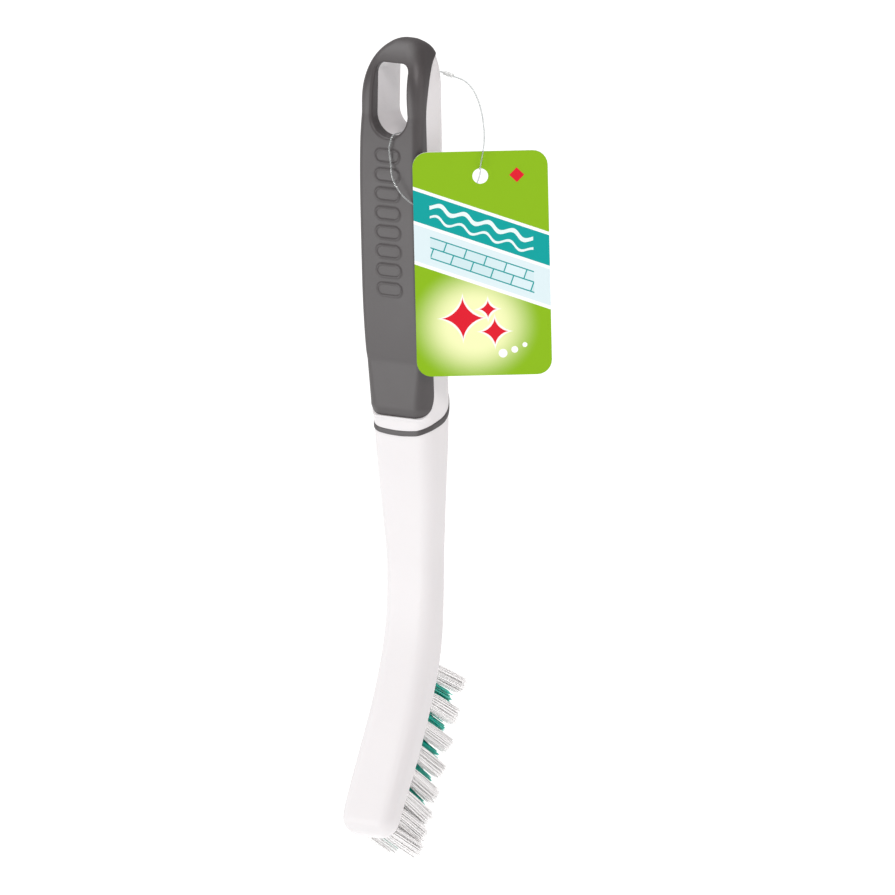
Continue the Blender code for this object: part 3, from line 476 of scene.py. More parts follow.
def lower_frames(share):
    """Centre line, and the direction square to it that points to the bristle side."""
    step = 0.004
    ahead = lower_points(np.minimum(share + step, 1.0))
    along = ahead - lower_points(np.maximum(share - step, 0.0))
    along /= np.linalg.norm(along, axis=-1, keepdims=True)
    return lower_points(share), np.stack((-along[..., 1], along[..., 0]), axis=-1)


def end_inset(share, radius):
    """Depth of a quarter circle at the head's end: radius less the root of radius^2 - left^2."""
    left = np.maximum(radius - (1.0 - share) * LOWER_LENGTH, 0.0)
    return radius - np.sqrt(np.maximum(radius ** 2 - left ** 2, 0.0))


def lower_sections(share, steps, flats):
    """Sections (x, across) of collar, neck and head, drawn in at the round end."""
    half = eased(LOWER_SIZES, 2, share) / 2
    blend = np.clip((share - 0.40) / 0.20, 0.0, 1.0)
    fuller = 1.0 + 0.20 * np.clip(1.0 - share / 0.30, 0.0, 1.0)
    return rounded_sections(
        eased(LOWER_SIZES, 1, share) / 2 - end_inset(share, END_CORNER),
        -half + end_inset(share, END_CORNER * 0.9),
        half - end_inset(share, BRISTLE_FACE_CORNER * 0.8),
        NECK_CORNER * fuller + (HEAD_CORNER - NECK_CORNER) * blend,
        NECK_CORNER * 1.12 + (BRISTLE_FACE_CORNER - NECK_CORNER * 1.12) * blend, steps, flats,
    )


def grip_sizes(z):
    """Sizes of the soft grip's outside: the handle's, swollen by a belly 1 - away^3.2 and drawn in
    at its lower end by a chamfer of the power 1.5."""
    half_width, front, back = upper_sizes(z, GRIP_PROUD)
    swell_top = SHOULDER_Z - TOP_ARCH * 0.19
    swell_low = GRIP_END_Z + GRIP_END * 0.155
    away = np.minimum(np.abs(z - (swell_top + swell_low) / 2) / ((swell_top - swell_low) / 2), 1.0)
    belly = GRIP_BELLY * (1.0 - away ** BELLY_POWER)
    above_end = np.maximum(z - GRIP_END_Z, 0.0) / GRIP_CHAMFER
    chamfer = np.maximum(1.0 - above_end, 0.0) ** CHAMFER_POWER
    front = front - belly + (-COLLAR_DEPTH * 0.476 - front) * chamfer
    half_width = half_width + (COLLAR_WIDTH * 0.504 - half_width) * chamfer
    near_end = np.clip(1.22 - (z - GRIP_END_Z) / (GRIP_END * 0.147), 0.0, 1.0)
    front_corner, back_corner = top_corners(z)
    return half_width, front, back, front_corner + FRONT_CORNER * 0.90 * near_end, back_corner


def parting_profile(gap):
    """Side view (y, z) of the grip's region: a rounded foot of the power 1.25, a straight back and
    a quarter ellipse that runs over the handle's end."""
    corner_y = GRIP_WALL * 1.05
    end_z = GRIP_END_Z - gap
    start_y = PARTING_LOW_Y - corner_y
    turn = np.linspace(0, np.pi / 2, 25)[1:]
    foot = np.stack((
        start_y + (corner_y + gap) * np.sin(turn) ** FOOT_POWER,
        end_z + GRIP_CHAMFER * 2.35 * (1.0 - np.maximum(np.cos(turn), 0.0) ** FOOT_POWER),
    ), axis=1)
    bend_z = SHOULDER_Z - TOP_ARCH * 0.286
    crest_y = BACK_Y * 1.067
    crest_z = TOP_RISE * 0.333 - gap
    turn = np.linspace(0, np.pi / 2, 41)
    nose = np.stack((
        crest_y - (crest_y - PARTING_TOP_Y - gap) * np.cos(turn),
        bend_z + (crest_z - bend_z) * np.sin(turn),
    ), axis=1)
    start = np.array(((-REACH, end_z), (start_y, end_z)))
    end = np.array(((REACH, crest_z), (REACH, REACH), (-REACH, REACH)))
    return np.concatenate((start, foot, nose, end))


def hole_outline(offset, top_offset):
    """Front view (x, z) of the hang hole: two quarter circles at its flat top and a half circle at
    its bottom, grown by a margin."""
    turn = np.linspace(0, np.pi / 2, 13)
    top_x = HOLE_TOP_WIDTH / 2 - HOLE_TOP_CORNER
    top = np.stack((
        top_x + (HOLE_TOP_CORNER + offset) * np.sin(turn),
        -HOLE_TOP_CORNER + (HOLE_TOP_CORNER + top_offset) * np.cos(turn),
    ), axis=1)
    turn = np.linspace(0, np.pi, 49)
    radius = HOLE_WIDTH / 2
    low = np.stack((
        (radius + offset) * np.cos(turn), radius - HOLE_LENGTH - (radius + offset) * np.sin(turn),
    ), axis=1)
    side = np.linspace(0, 1, 14)[1:-1, None]
    right = top[-1] + (low[0] - top[-1]) * side
    left = right[::-1] * (-1, 1)
    return np.concatenate((top, right, low, left, top[::-1] * (-1, 1)))


def cutter(name, rings):
    """Closed tool over rings that is never part of the object."""
    made = skin(name, rings, None)
    made.hide_render = True
    made.hide_viewport = True
    return made


def prism(name, outline, axis, low, high):
    """Outline carried straight along X (axis 0) or Y (axis 1)."""
    rings = np.empty((2, len(outline), 3))
    rings[..., axis] = np.array((low, high))[:, None]
    rings[..., 1 - axis] = outline[None, :, 0]
    rings[..., 2] = outline[None, :, 1]
    return cutter(name, rings)


def cut(piece, tool, operation):
    """Exact Boolean of a piece with a tool, applied to the piece's mesh."""
    step = piece.modifiers.new("step", "BOOLEAN")
    step.operation = operation
    step.solver = "EXACT"
    step.object = tool
    tool.hide_viewport = False
    piece.hide_viewport = False
    bpy.context.view_layer.update()
    graph = bpy.context.evaluated_depsgraph_get()
    made = bpy.data.meshes.new_from_object(piece.evaluated_get(graph))
    piece.modifiers.clear()
    old = piece.data
    piece.data = made
    bpy.data.meshes.remove(old)


def discard(*tools):
    """Removes tools that have done their cut."""
    for tool in tools:
        bpy.data.objects.remove(tool, do_unlink=True)


def hang_hole_cutter():
    """Hole outlines stacked front to back, flared at both mouths by quarter-circle rims, the front
    one at the height of the soft grip's face."""
    rings = []
    for turn in np.linspace(np.pi / 2, 0, 9):
        grown = HOLE_RIM * (1 - math.cos(turn))
        x, z = hole_outline(grown, grown * 0.3).T
        face = grip_sizes(np.minimum(z, TOP_RISE * 0.5))[1]
        rings.append(np.stack((x, face + HOLE_RIM * (1 - math.sin(turn)), z), axis=1))
    ahead = rings[0].copy()
    ahead[:, 1] -= HANDLE_DEPTH * 0.35
    rim = HOLE_RIM * 0.7
    for turn in np.linspace(0, np.pi / 2, 7):
        x, z = hole_outline(rim * (1 - math.cos(turn)), rim * (1 - math.cos(turn))).T
        rings.append(np.stack((x, np.full_like(x, BACK_Y - rim + rim * math.sin(turn)), z), axis=1))
    behind = rings[-1].copy()
    behind[:, 1] += HOLE_RIM * 3
    return cutter("hang_hole_cutter", np.array([ahead, *rings, behind]))


def boss_cutter(name, gap, back):
    """Wall round the hang hole, cut off at the front by a plane that slopes back at its top."""
    outline = hole_outline(BOSS_WALL + gap, BOSS_WALL + gap)
    wall = prism(name, outline, 1, PARTING_TOP_Y - GRIP_WALL, back)
    front = PARTING_TOP_Y - gap
    slope_y = float(grip_sizes(np.array([BOSS_WALL]))[1][0]) + GRIP_WALL * 0.425 - gap
    side = np.array((
        (front, -2 * HOLE_LENGTH), (front, -HOLE_LENGTH * 0.14), (slope_y, BOSS_WALL + gap),
        (slope_y + GRIP_WALL, 5 * BOSS_WALL), (back + 0.0003, 5 * BOSS_WALL),
        (back + 0.0003, -2 * HOLE_LENGTH),
    ))
    shape = prism(name + "_side", side, 0, -HANDLE_WIDTH, HANDLE_WIDTH)
    cut(wall, shape, "INTERSECT")
    discard(shape)
    return wall


def ring_line(flats):
    """Line of the ring round the body's skin and its thickening, 1 + growth times the share of the
    way from front to back. Its height at each point is settled in a few rounds: middle + bow
    (2x / width)^2 + side rise times share^0.7 + back rise times share^7."""
    middle = GRIP_END_Z - COLLAR_HEIGHT - RING_HEIGHT / 2
    count = 4 * (RING_STEPS + 1) + sum(flats)
    order = np.arange(count)
    height = np.full(count, middle)
    for _ in range(RING_ROUNDS):
        above = core_sections(np.maximum(height, GRIP_END_Z), RING_STEPS, flats)
        share = np.maximum((LOWER_START_Z - height) / LOWER_LENGTH, 0.0)
        below = lower_sections(share, RING_STEPS, flats)
        below[..., 1] += lower_points(share)[:, None, 0]
        mix = np.clip((GRIP_END_Z - height) / (GRIP_END_Z - LOWER_START_Z), 0.0, 1.0)
        outline = above + (below - above) * mix[:, None, None]
        x, y = outline[order, order].T
        low = outline[..., 1].min(axis=1)
        part = np.clip((y - low) / (outline[..., 1].max(axis=1) - low), 0, 1)
        rise = RING_SIDE_RISE * part ** 0.7 + RING_BACK_RISE * part ** 7
        height = (height + middle + RING_BOW * (2 * x / COLLAR_WIDTH) ** 2 + rise) / 2
    spot = np.stack((x, y), axis=1)
    way = np.roll(spot, -1, axis=0) - np.roll(spot, 1, axis=0)
    out = np.stack((way[:, 1], -way[:, 0]), axis=1)
    out /= np.linalg.norm(out, axis=1, keepdims=True)
    return spot, out, height, 1.0 + RING_GROWTH * part


def band_points(spot, out, height, growth, profile):
    """Profile rows (out, up) carried round the band's line, taller by its growth."""
    return np.stack([
        np.stack((
            spot[:, 0] + out[:, 0] * away, spot[:, 1] + out[:, 1] * away, height + up * growth,
        ), axis=1)
        for away, up in profile
    ], axis=1)


def band_mesh(name, rings, finish, crease):
    """Closed loop of rings, each joined to the next and the last to the first."""
    rows, columns = rings.shape[:2]
    faces = grid_faces(rows + 1, columns, True) % (rows * columns)
    return put_mesh(name, rings.reshape(-1, 3), faces, finish, crease)


def tuft_places():
    """Name, base and outward direction of each tuft, n steps along the bristle face at n pitch -
    n^2 loss / 2, the middle row half a step on, each leaned out sideways and slanted."""
    share = np.linspace(0.5, 1.0, 400)
    centre, out = lower_frames(share)
    line = centre + out * eased(LOWER_SIZES, 2, share)[:, None] / 2
    run = np.concatenate(([0.0], np.cumsum(np.linalg.norm(np.diff(line, axis=0), axis=1))))
    start = np.interp(FIRST_TUFT, share, run)
    places = []
    rows = (("left", -1, 0.0, TUFTS_IN_ROW), ("right", 1, 0.0, TUFTS_IN_ROW),
            ("centre", 0, 0.5, TUFTS_IN_ROW - 1))
    for row, side, stagger, count in rows:
        steps = np.arange(count) + stagger
        length = start + steps * TUFT_PITCH - steps ** 2 * PITCH_LOSS / 2
        behind, spot, ahead = (
            np.stack([np.interp(length + off, run, line[:, c]) for c in (0, 1)], axis=1)
            for off in (-0.001, 0.0, 0.001)
        )
        tilt = np.arctan2(-(ahead - behind)[:, 0], -(ahead - behind)[:, 1]) + TUFT_SLANT
        lean = side * ROW_LEAN
        for number in range(count):
            way = np.array((
                math.sin(lean), math.cos(lean) * math.cos(tilt[number]),
                -math.cos(lean) * math.sin(tilt[number]),
            ))
            base = np.array((side * ROW_SPACING, *spot[number]))
            places.append((f"{row}_{number + 1}", base, way))
    return places


def tuft_directions(way):
    """Directions across the head and along it, square to a tuft."""
    across = np.array((1.0, 0.0, 0.0)) - way * way[0]
    across /= np.linalg.norm(across)
    return across, np.cross(way, across)


def at_heights(sections, heights):
    """Flat sections, each lifted to its height."""
    lifted = np.broadcast_to(heights[:, None, None], (*sections.shape[:2], 1))
    return np.concatenate((sections, lifted), axis=2)


FLATS = (10, 14, 10, 16)
CORNER_STEPS = 10
arch_turn = np.linspace(np.pi / 2, 0, 49)
heights = np.concatenate((
    SHOULDER_Z + TOP_ARCH * np.sin(arch_turn), np.linspace(SHOULDER_Z, GRIP_END_Z, 110)[1:],
))
upper = at_heights(core_sections(heights, CORNER_STEPS, FLATS), heights)
round_start = 1.0 - END_CORNER / LOWER_LENGTH
shares = np.concatenate((
    np.linspace(0.0, round_start, 190),
    1.0 - (1.0 - np.sin(np.linspace(0, np.pi / 2, 17)[1:])) * END_CORNER / LOWER_LENGTH,
))
flat = lower_sections(shares, CORNER_STEPS, FLATS)
centre, outward = lower_frames(shares)
lower = np.stack((
    flat[..., 0], centre[:, None, 0] + outward[:, None, 0] * flat[..., 1],
    centre[:, None, 1] + outward[:, None, 1] * flat[..., 1],
), axis=2)

# Polypropylene straight from a polished mould: milky white, glossy, with a barely seen orange peel
# of about 3 mm and a faint drift of tone and gloss over some 36 mm
glossy_white, tree, shader = start_material("polypropylene_polished_white")
place = add(tree, "ShaderNodeTexCoord", {}).outputs["Object"]
drift = add(tree, "ShaderNodeTexNoise", {"Scale": 28.0, "Detail": 2.0, "Vector": place})
peel = add(tree, "ShaderNodeTexNoise", {"Scale": 340.0, "Detail": 1.0, "Vector": place})
tone = add(tree, "ShaderNodeMix", {
    "data_type": "RGBA", 0: drift, 6: linear("D8D6D7"), 7: linear("DCDADB"),
})
gloss = add(tree, "ShaderNodeMapRange", {"To Min": 0.26, "To Max": 0.34, "Value": drift})
bump = add(tree, "ShaderNodeBump", {"Strength": 0.25, "Distance": 0.00004, "Height": peel})
fill(tree, shader, {
    "Base Color": tone.outputs[2], "Roughness": gloss, "Normal": bump, "IOR": 1.49,
    "Specular IOR Level": 0.22, "Subsurface Weight": 0.12,
    "Subsurface Radius": (0.9, 0.8, 0.75), "Subsurface Scale": 0.002,
})

core_shell = skin("core_shell", np.concatenate((upper, lower))[:, ::-1], glossy_white)
recess = prism("grip_recess", parting_profile(GAP), 0, -REACH, REACH)
boss = boss_cutter("hole_boss", 0.0, BACK_Y + HANDLE_DEPTH)
cut(recess, boss, "DIFFERENCE")
hang_hole = hang_hole_cutter()
ring_route = ring_line(FLATS)
groove_half = RING_HEIGHT / 2 + GAP
groove = band_mesh("ring_groove", band_points(*ring_route, (
    (-RING_DEPTH - GAP, -groove_half), (RING_HEIGHT, -groove_half),
    (RING_HEIGHT, groove_half), (-RING_DEPTH - GAP, groove_half),
)), None, 0.6)
places = tuft_places()
turns = full_turn(TUFT_HOLE_SIDES)
hole_points = []
hole_faces = []
for label, base, way in places:
    across, along = tuft_directions(way)
    circle = TUFT_HOLE_DIAMETER / 2 * (
        np.cos(turns)[:, None] * across + np.sin(turns)[:, None] * along
    )
    first = len(hole_points) * TUFT_HOLE_SIDES
    second = first + TUFT_HOLE_SIDES
    hole_points += [
        base + circle - way * TUFT_HOLE_DEPTH, base + circle + way * TUFT_HOLE_DIAMETER * 0.95,
    ]
    hole_faces += [list(face + first) for face in grid_faces(2, TUFT_HOLE_SIDES, True)]
    hole_faces += [list(range(first, second))[::-1], list(range(second, second + TUFT_HOLE_SIDES))]
tuft_holes = put_mesh("tuft_holes", np.concatenate(hole_points), hole_faces, None)
for tool in (recess, hang_hole, groove, tuft_holes):
    cut(core_shell, tool, "DIFFERENCE")
discard(recess, boss, groove, tuft_holes)
core_shell.data.shade_smooth()
core_shell.data.set_sharp_from_angle(angle=0.55)
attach(core_shell, "brush")
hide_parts("handle_core")


# Soft grip. Grey thermoplastic elastomer moulded over the core in a second shot, with a matt
# spark-eroded skin. Raised oval rims on its front give the thumb a hold.
PAD_LENGTH = 0.0098
PAD_HEIGHT = 0.0042
PAD_PITCH = 0.0066
PAD_TOP_Z = -0.0315
PADS = 8
PAD_RIM = 0.00042
PAD_RISE = 0.00028


def pad_relief(x, z):
    """Rise of the front: a rim exp(-(d / width)^2) about each oval's outline, d being the signed
    distance to it, and a shallow pillow inside."""
    number = np.clip(np.round((PAD_TOP_Z - z) / PAD_PITCH), 0, PADS - 1)
    up = z - (PAD_TOP_Z - number * PAD_PITCH)
    radius = PAD_HEIGHT / 2
    away = np.hypot(np.maximum(np.abs(x) - (PAD_LENGTH / 2 - radius), 0.0), up) - radius
    rim = np.exp(-(away / PAD_RIM) ** 2)
    pillow = np.clip(-away / radius, 0.0, 1.0) ** 0.5 * 0.35
    return PAD_RISE * np.maximum(rim, pillow)


GRIP_FLATS = (10, 14, 10, 78)
arch_turn = np.linspace(np.pi / 2, 0, 61)
low = GRIP_END_Z + GRIP_CHAMFER
pads_start = PAD_TOP_Z + PAD_HEIGHT
pads_end = PAD_TOP_Z - (PADS - 1) * PAD_PITCH - PAD_HEIGHT
heights = np.concatenate((
    SHOULDER_Z + TOP_ARCH * np.sin(arch_turn), np.linspace(SHOULDER_Z, pads_start, 22)[1:],
    np.linspace(pads_start, pads_end, 250)[1:], np.linspace(pads_end, low, 44)[1:],
    np.linspace(low, GRIP_END_Z, 15)[1:], [GRIP_END_Z - GRIP_CHAMFER * 0.6],
))
sizes = grip_sizes(heights)
rings = at_heights(rounded_sections(*sizes, CORNER_STEPS, GRIP_FLATS), heights)
on_front = np.abs(rings[..., 1] - sizes[1][:, None]) < 1e-6
rings[..., 1] -= np.where(on_front, pad_relief(rings[..., 0], rings[..., 2]), 0.0)

# Elastomer against a spark-eroded mould: dull, with a grain of 0.1 mm drawn at 0.35 mm so that it
# shows, and patches of some 11 mm where the skin shines a little more
matt_grey, tree, shader = start_material("elastomer_eroded_grey")
place = add(tree, "ShaderNodeTexCoord", {}).outputs["Object"]
grain = add(tree, "ShaderNodeTexNoise", {"Scale": 2900.0, "Detail": 2.0, "Vector": place})
cloud = add(tree, "ShaderNodeTexNoise", {"Scale": 90.0, "Detail": 3.0, "Vector": place})
tone = add(tree, "ShaderNodeMix", {
    "data_type": "RGBA", 0: cloud, 6: linear("2F2A2B"), 7: linear("383334"),
})
gloss = add(tree, "ShaderNodeMapRange", {"To Min": 0.42, "To Max": 0.52, "Value": cloud})
bump = add(tree, "ShaderNodeBump", {"Strength": 0.45, "Distance": 0.00005, "Height": grain})
fill(tree, shader, {
    "Base Color": tone.outputs[2], "Roughness": gloss, "Normal": bump, "IOR": 1.50,
    "Specular IOR Level": 0.80,
})

grip_skin = skin("grip_skin", rings[:, ::-1], matt_grey)
zone = prism("grip_zone", parting_profile(0.0), 0, -REACH, REACH)
pocket = boss_cutter("boss_pocket", GAP, BACK_Y + HANDLE_DEPTH * 1.5)
cut(grip_skin, zone, "INTERSECT")
cut(grip_skin, pocket, "DIFFERENCE")
cut(grip_skin, hang_hole, "DIFFERENCE")
discard(zone, pocket, hang_hole)
grip_skin.data.shade_smooth()
grip_skin.data.set_sharp_from_angle(angle=0.55)
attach(grip_skin, "brush")
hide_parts("soft_grip")


# Accent ring. A band of the same elastomer, moulded into a groove of the core below the grip. Its
# face stands a hair proud, with rounded edges.
RING_EDGE = 0.00025
turn = np.linspace(0, np.pi / 2, 5)
half = RING_HEIGHT / 2
low_edge = [
    (RING_PROUD - RING_EDGE + RING_EDGE * math.sin(t), -half + RING_EDGE - RING_EDGE * math.cos(t))
    for t in turn
]
ring_profile = [(-RING_DEPTH, -half), *low_edge, *[(away, -up) for away, up in reversed(low_edge)],
                (-RING_DEPTH, half)]
ring_band = band_mesh("ring_band", band_points(*ring_route, ring_profile), matt_grey, 0.9)
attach(ring_band, "brush")
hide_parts("accent_ring")


# Tufts. Nylon filaments about 0.3 mm thick, some ninety ends to a hole, folded over the anchor
# plate, pressed in and trimmed. The cut ends splay, and no two are quite the same length. They are
# drawn 0.5 mm thick, so that they show in the render.
FILAMENTS = 90
FILAMENT_SIDES = 5
BRISTLE_LENGTH = 0.0214
BRISTLE_RADIUS = 0.00024
TUFT_ROOT_RADIUS = 0.00180
TUFT_TIP_RADIUS = {"white": 0.0030, "teal": 0.0028}
TUFT_ROOT_DEPTH = 0.0030
TUFT_SEED = 100
TIP_SCATTER = 0.00018
BEND_SCATTER = 0.00024
TRIM_SCATTER = 0.035
# Shares of a filament's length, and its thickness at each
FILAMENT_STATIONS = (
    (0.0, 1.0), (0.12, 1.0), (0.3, 1.0), (0.5, 0.98), (0.7, 0.96), (0.88, 0.93), (0.985, 0.88),
    (1.0, 0.55),
)


def bristle_points(base, way, tip_radius, seed):
    """Filaments on a sunflower pattern, r = root of (i + 0.5) / n, turned by the golden angle. Each
    splays soon after its hole, as 1 - (1 - t)^5, with a bend of its own as t^2 - t."""
    dice = np.random.default_rng(seed)
    across, along = tuft_directions(way)
    index = np.arange(FILAMENTS)
    turn = index * math.pi * (3 - math.sqrt(5)) + dice.uniform(0, 2 * np.pi)
    radius = np.sqrt((index + 0.5) / FILAMENTS)
    spot = np.stack((radius * np.cos(turn), radius * np.sin(turn)), axis=1)
    root = spot * TUFT_ROOT_RADIUS
    tip = spot * tip_radius * dice.uniform(0.90, 1.08, (FILAMENTS, 1))
    tip = tip + dice.normal(0.0, TIP_SCATTER, (FILAMENTS, 2))
    bend = dice.normal(0.0, BEND_SCATTER, (FILAMENTS, 2))
    cut_short = np.abs(dice.normal(0.0, TRIM_SCATTER, FILAMENTS)).clip(0, 0.10)
    length = BRISTLE_LENGTH * (1.0 - cut_short)
    t, size = np.array(FILAMENT_STATIONS).T
    size = size * BRISTLE_RADIUS
    share = t[None, :, None]
    splay = 1.0 - (1.0 - share) ** 5
    side = root[:, None] + (tip - root)[:, None] * splay + bend[:, None] * (share ** 2 - share)
    rise = -TUFT_ROOT_DEPTH + (length[:, None] + TUFT_ROOT_DEPTH) * t[None]
    spin = dice.uniform(0, 2 * np.pi, FILAMENTS)[:, None] + full_turn(FILAMENT_SIDES)
    circle = np.stack((np.cos(spin), np.sin(spin)), axis=2)
    flat = side[:, :, None] + circle[:, None] * size[None, :, None, None]
    points = (
        base + flat[..., :1] * across + flat[..., 1:] * along + rise[:, :, None, None] * way
    )
    shade = np.broadcast_to(dice.uniform(0, 1, FILAMENTS)[:, None, None], points.shape[:3])
    reach = np.broadcast_to(t[None, :, None], points.shape[:3])
    return points, shade, reach


rows = len(FILAMENT_STATIONS)
one = grid_faces(rows, FILAMENT_SIDES, True)
per_filament = rows * FILAMENT_SIDES
step = np.arange(FILAMENTS) * per_filament
bristle_quads = (one[None] + step[:, None, None]).reshape(-1, 4).tolist()
bristle_caps = np.concatenate((
    np.arange(FILAMENT_SIDES)[::-1] + step[:, None],
    np.arange(FILAMENT_SIDES) + per_filament - FILAMENT_SIDES + step[:, None],
)).tolist()

# Nylon filament, opaque white or teal: each one a little lighter or darker than the next, paler at
# the cut tip, with the satin gloss of a drawn thread
bristle_finishes = {}
for label, deep, pale in (
    ("white", ("F9F7F6", "FEFDFD"), "FEFEFD"), ("teal", ("009C87", "08C2AD"), "4CC9B9"),
):
    finish, tree, shader = start_material(f"nylon_bristle_{label}")
    shade = add(tree, "ShaderNodeAttribute", {"attribute_name": "shade"}).outputs["Fac"]
    reach = add(tree, "ShaderNodeAttribute", {"attribute_name": "reach"}).outputs["Fac"]
    tone = add(tree, "ShaderNodeMix", {
        "data_type": "RGBA", 0: shade, 6: linear(deep[0]), 7: linear(deep[1]),
    })
    cut_end = add(tree, "ShaderNodeMapRange", {
        "From Min": 0.93, "From Max": 1.0, "To Max": 0.6, "Value": reach,
    })
    tipped = add(tree, "ShaderNodeMix", {
        "data_type": "RGBA", 0: cut_end, 6: tone.outputs[2], 7: linear(pale),
    })
    gloss = add(tree, "ShaderNodeMapRange", {"To Min": 0.34, "To Max": 0.46, "Value": shade})
    fill(tree, shader, {
        "Base Color": tipped.outputs[2], "Roughness": gloss, "IOR": 1.53,
        "Subsurface Weight": 0.60, "Subsurface Radius": (0.6, 0.6, 0.6), "Subsurface Scale": 0.002,
    })
    bristle_finishes[label] = finish

for number, (label, base, way) in enumerate(places):
    kind = "teal" if label.startswith("centre") else "white"
    points, shade, reach = bristle_points(base, way, TUFT_TIP_RADIUS[kind], TUFT_SEED + number)
    tuft = put_mesh(
        "bristles_" + label, points.reshape(-1, 3), bristle_quads + bristle_caps,
        bristle_finishes[kind], 0.9,
    )
    for name, values in (("shade", shade), ("reach", reach)):
        layer = tuft.data.attributes.new(name, "FLOAT", "POINT")
        layer.data.foreach_set("value", np.ascontiguousarray(values, dtype=np.float32).ravel())
    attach(tuft, "brush")
    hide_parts("tuft_" + label)


# Anchors. Flat plates stamped from drawn steel wire, one in the root of each tuft, hidden in the
# head. Their edges bite into the walls of the hole.
drawn_steel, tree, shader = start_material("steel_wire_drawn")
place = add(tree, "ShaderNodeTexCoord", {}).outputs["Object"]
stretch = add(tree, "ShaderNodeMapping", {"Scale": (400.0, 4000.0, 4000.0), "Vector": place})
drawn = add(tree, "ShaderNodeTexNoise", {"Scale": 1.0, "Detail": 2.0, "Vector": stretch})
tone = add(tree, "ShaderNodeMix", {
    "data_type": "RGBA", 0: drawn, 6: linear("A9A69E"), 7: linear("C9C6BF"),
})
gloss = add(tree, "ShaderNodeMapRange", {"To Min": 0.25, "To Max": 0.42, "Value": drawn})
fill(tree, shader, {
    "Base Color": tone.outputs[2], "Roughness": gloss, "Metallic": 1.0,
})
for label, _, _ in places:
    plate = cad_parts["anchor_" + label]
    plate.data.materials.clear()
    plate.data.materials.append(drawn_steel)


# Hang tag. Coated card 0.5 mm thick, printed in green, yellow, teal and red, varnished, and punched
# with a round hole. Its print is a plain design of slanting bands, waves, tiles and sparkles.
CARD_TOP_Z = -0.0288
BAND_SLANT = math.radians(20.0)
# Millimetres: bands by top, bottom and colour, waves and tiles by height and half thickness, and
# marks by their middle and size
BANDS = ((-18.9, -44.2, "F0F0F0"), (-20.0, -30.0, "009895"), (-31.1, -43.0, "D0E1E5"))
WAVES = ((-23.3, 0.75), (-27.1, 0.45))
WAVE_TURN = 0.72
TILES = (-37.05, 3.6)
PRINT_HALF_WIDTH = 17.5
GLOW_MIDDLE = (-3.0, -60.0)
SPARKLES = ((-7.0, -57.8, 7.4), (3.8, -62.6, 4.8), (1.6, -54.8, 3.2))
SPARKLE_POWER = 0.62
SPARKLE_EDGE = 1.7
DIAMOND = (12.4, -8.4, 2.6)
DOTS = ((6.4, -70.2, 1.5), (10.4, -69.0, 1.15), (13.9, -67.4, 0.85))

card_print, tree, shader = start_material("card_coated_printed")
# Millimetres across, out of and up the card, from the middle of its top edge
sheet = add(tree, "ShaderNodeMapping", {
    "Scale": (1000.0, 1000.0, 1000.0), "Rotation": (0.0, 0.0, -CARD_TURN),
    "Location": (-CARD_RIGHT * 1000, 0.0, -CARD_TOP_Z * 1000),
    "Vector": add(tree, "ShaderNodeTexCoord", {}).outputs["Object"],
})
across, outwards, height = add(tree, "ShaderNodeSeparateXYZ", {0: sheet}).outputs
flat_place = add(tree, "ShaderNodeCombineXYZ", {0: across, 1: height})
# Green field with a soft yellow glow low on the card, wider than it is high
glow_place = add(tree, "ShaderNodeVectorMath", {
    "operation": "SUBTRACT", 0: flat_place, 1: (*GLOW_MIDDLE, 0.0),
})
glow_place = add(tree, "ShaderNodeVectorMath", {
    "operation": "MULTIPLY", 0: glow_place, 1: (1.0, 1.08, 0.0),
})
glow_reach = add(tree, "ShaderNodeVectorMath", {"operation": "LENGTH", 0: glow_place})
glow = add(tree, "ShaderNodeMapRange", {
    "interpolation_type": "SMOOTHSTEP", "From Min": 23.0, "From Max": 8.0,
    "Value": glow_reach.outputs["Value"],
})
colour = add(tree, "ShaderNodeMix", {
    "data_type": "RGBA", 0: glow, 6: linear("82AF12"), 7: linear("E6EBB2"),
}).outputs[2]
# Each mark is a value, the limit it stays below, its colour, and the zone it keeps to if any.
# First red four-pointed sparkles with white edges, |x|^p + |y|^p below size^p, and with p of 1 a
# plain diamond in the upper corner
marks = []
pointed = [(*row, SPARKLE_POWER, SPARKLE_EDGE) for row in SPARKLES] + [(*DIAMOND, 1.0, 0.0)]
for middle_x, middle_y, size, power, edge in pointed:
    away = add(tree, "ShaderNodeVectorMath", {
        "operation": "SUBTRACT", 0: flat_place, 1: (middle_x, middle_y, 0.0),
    })
    away = add(tree, "ShaderNodeVectorMath", {"operation": "ABSOLUTE", 0: away})
    raised = [
        add(tree, "ShaderNodeMath", {"operation": "POWER", 0: part, 1: power})
        for part in add(tree, "ShaderNodeSeparateXYZ", {0: away}).outputs[:2]
    ]
    spread = add(tree, "ShaderNodeMath", {"operation": "ADD", 0: raised[0], 1: raised[1]})
    if edge:
        marks.append((spread, (size + edge) ** power, linear("ECECE6"), None))
    marks.append((spread, size ** power, linear("D1152A"), None))
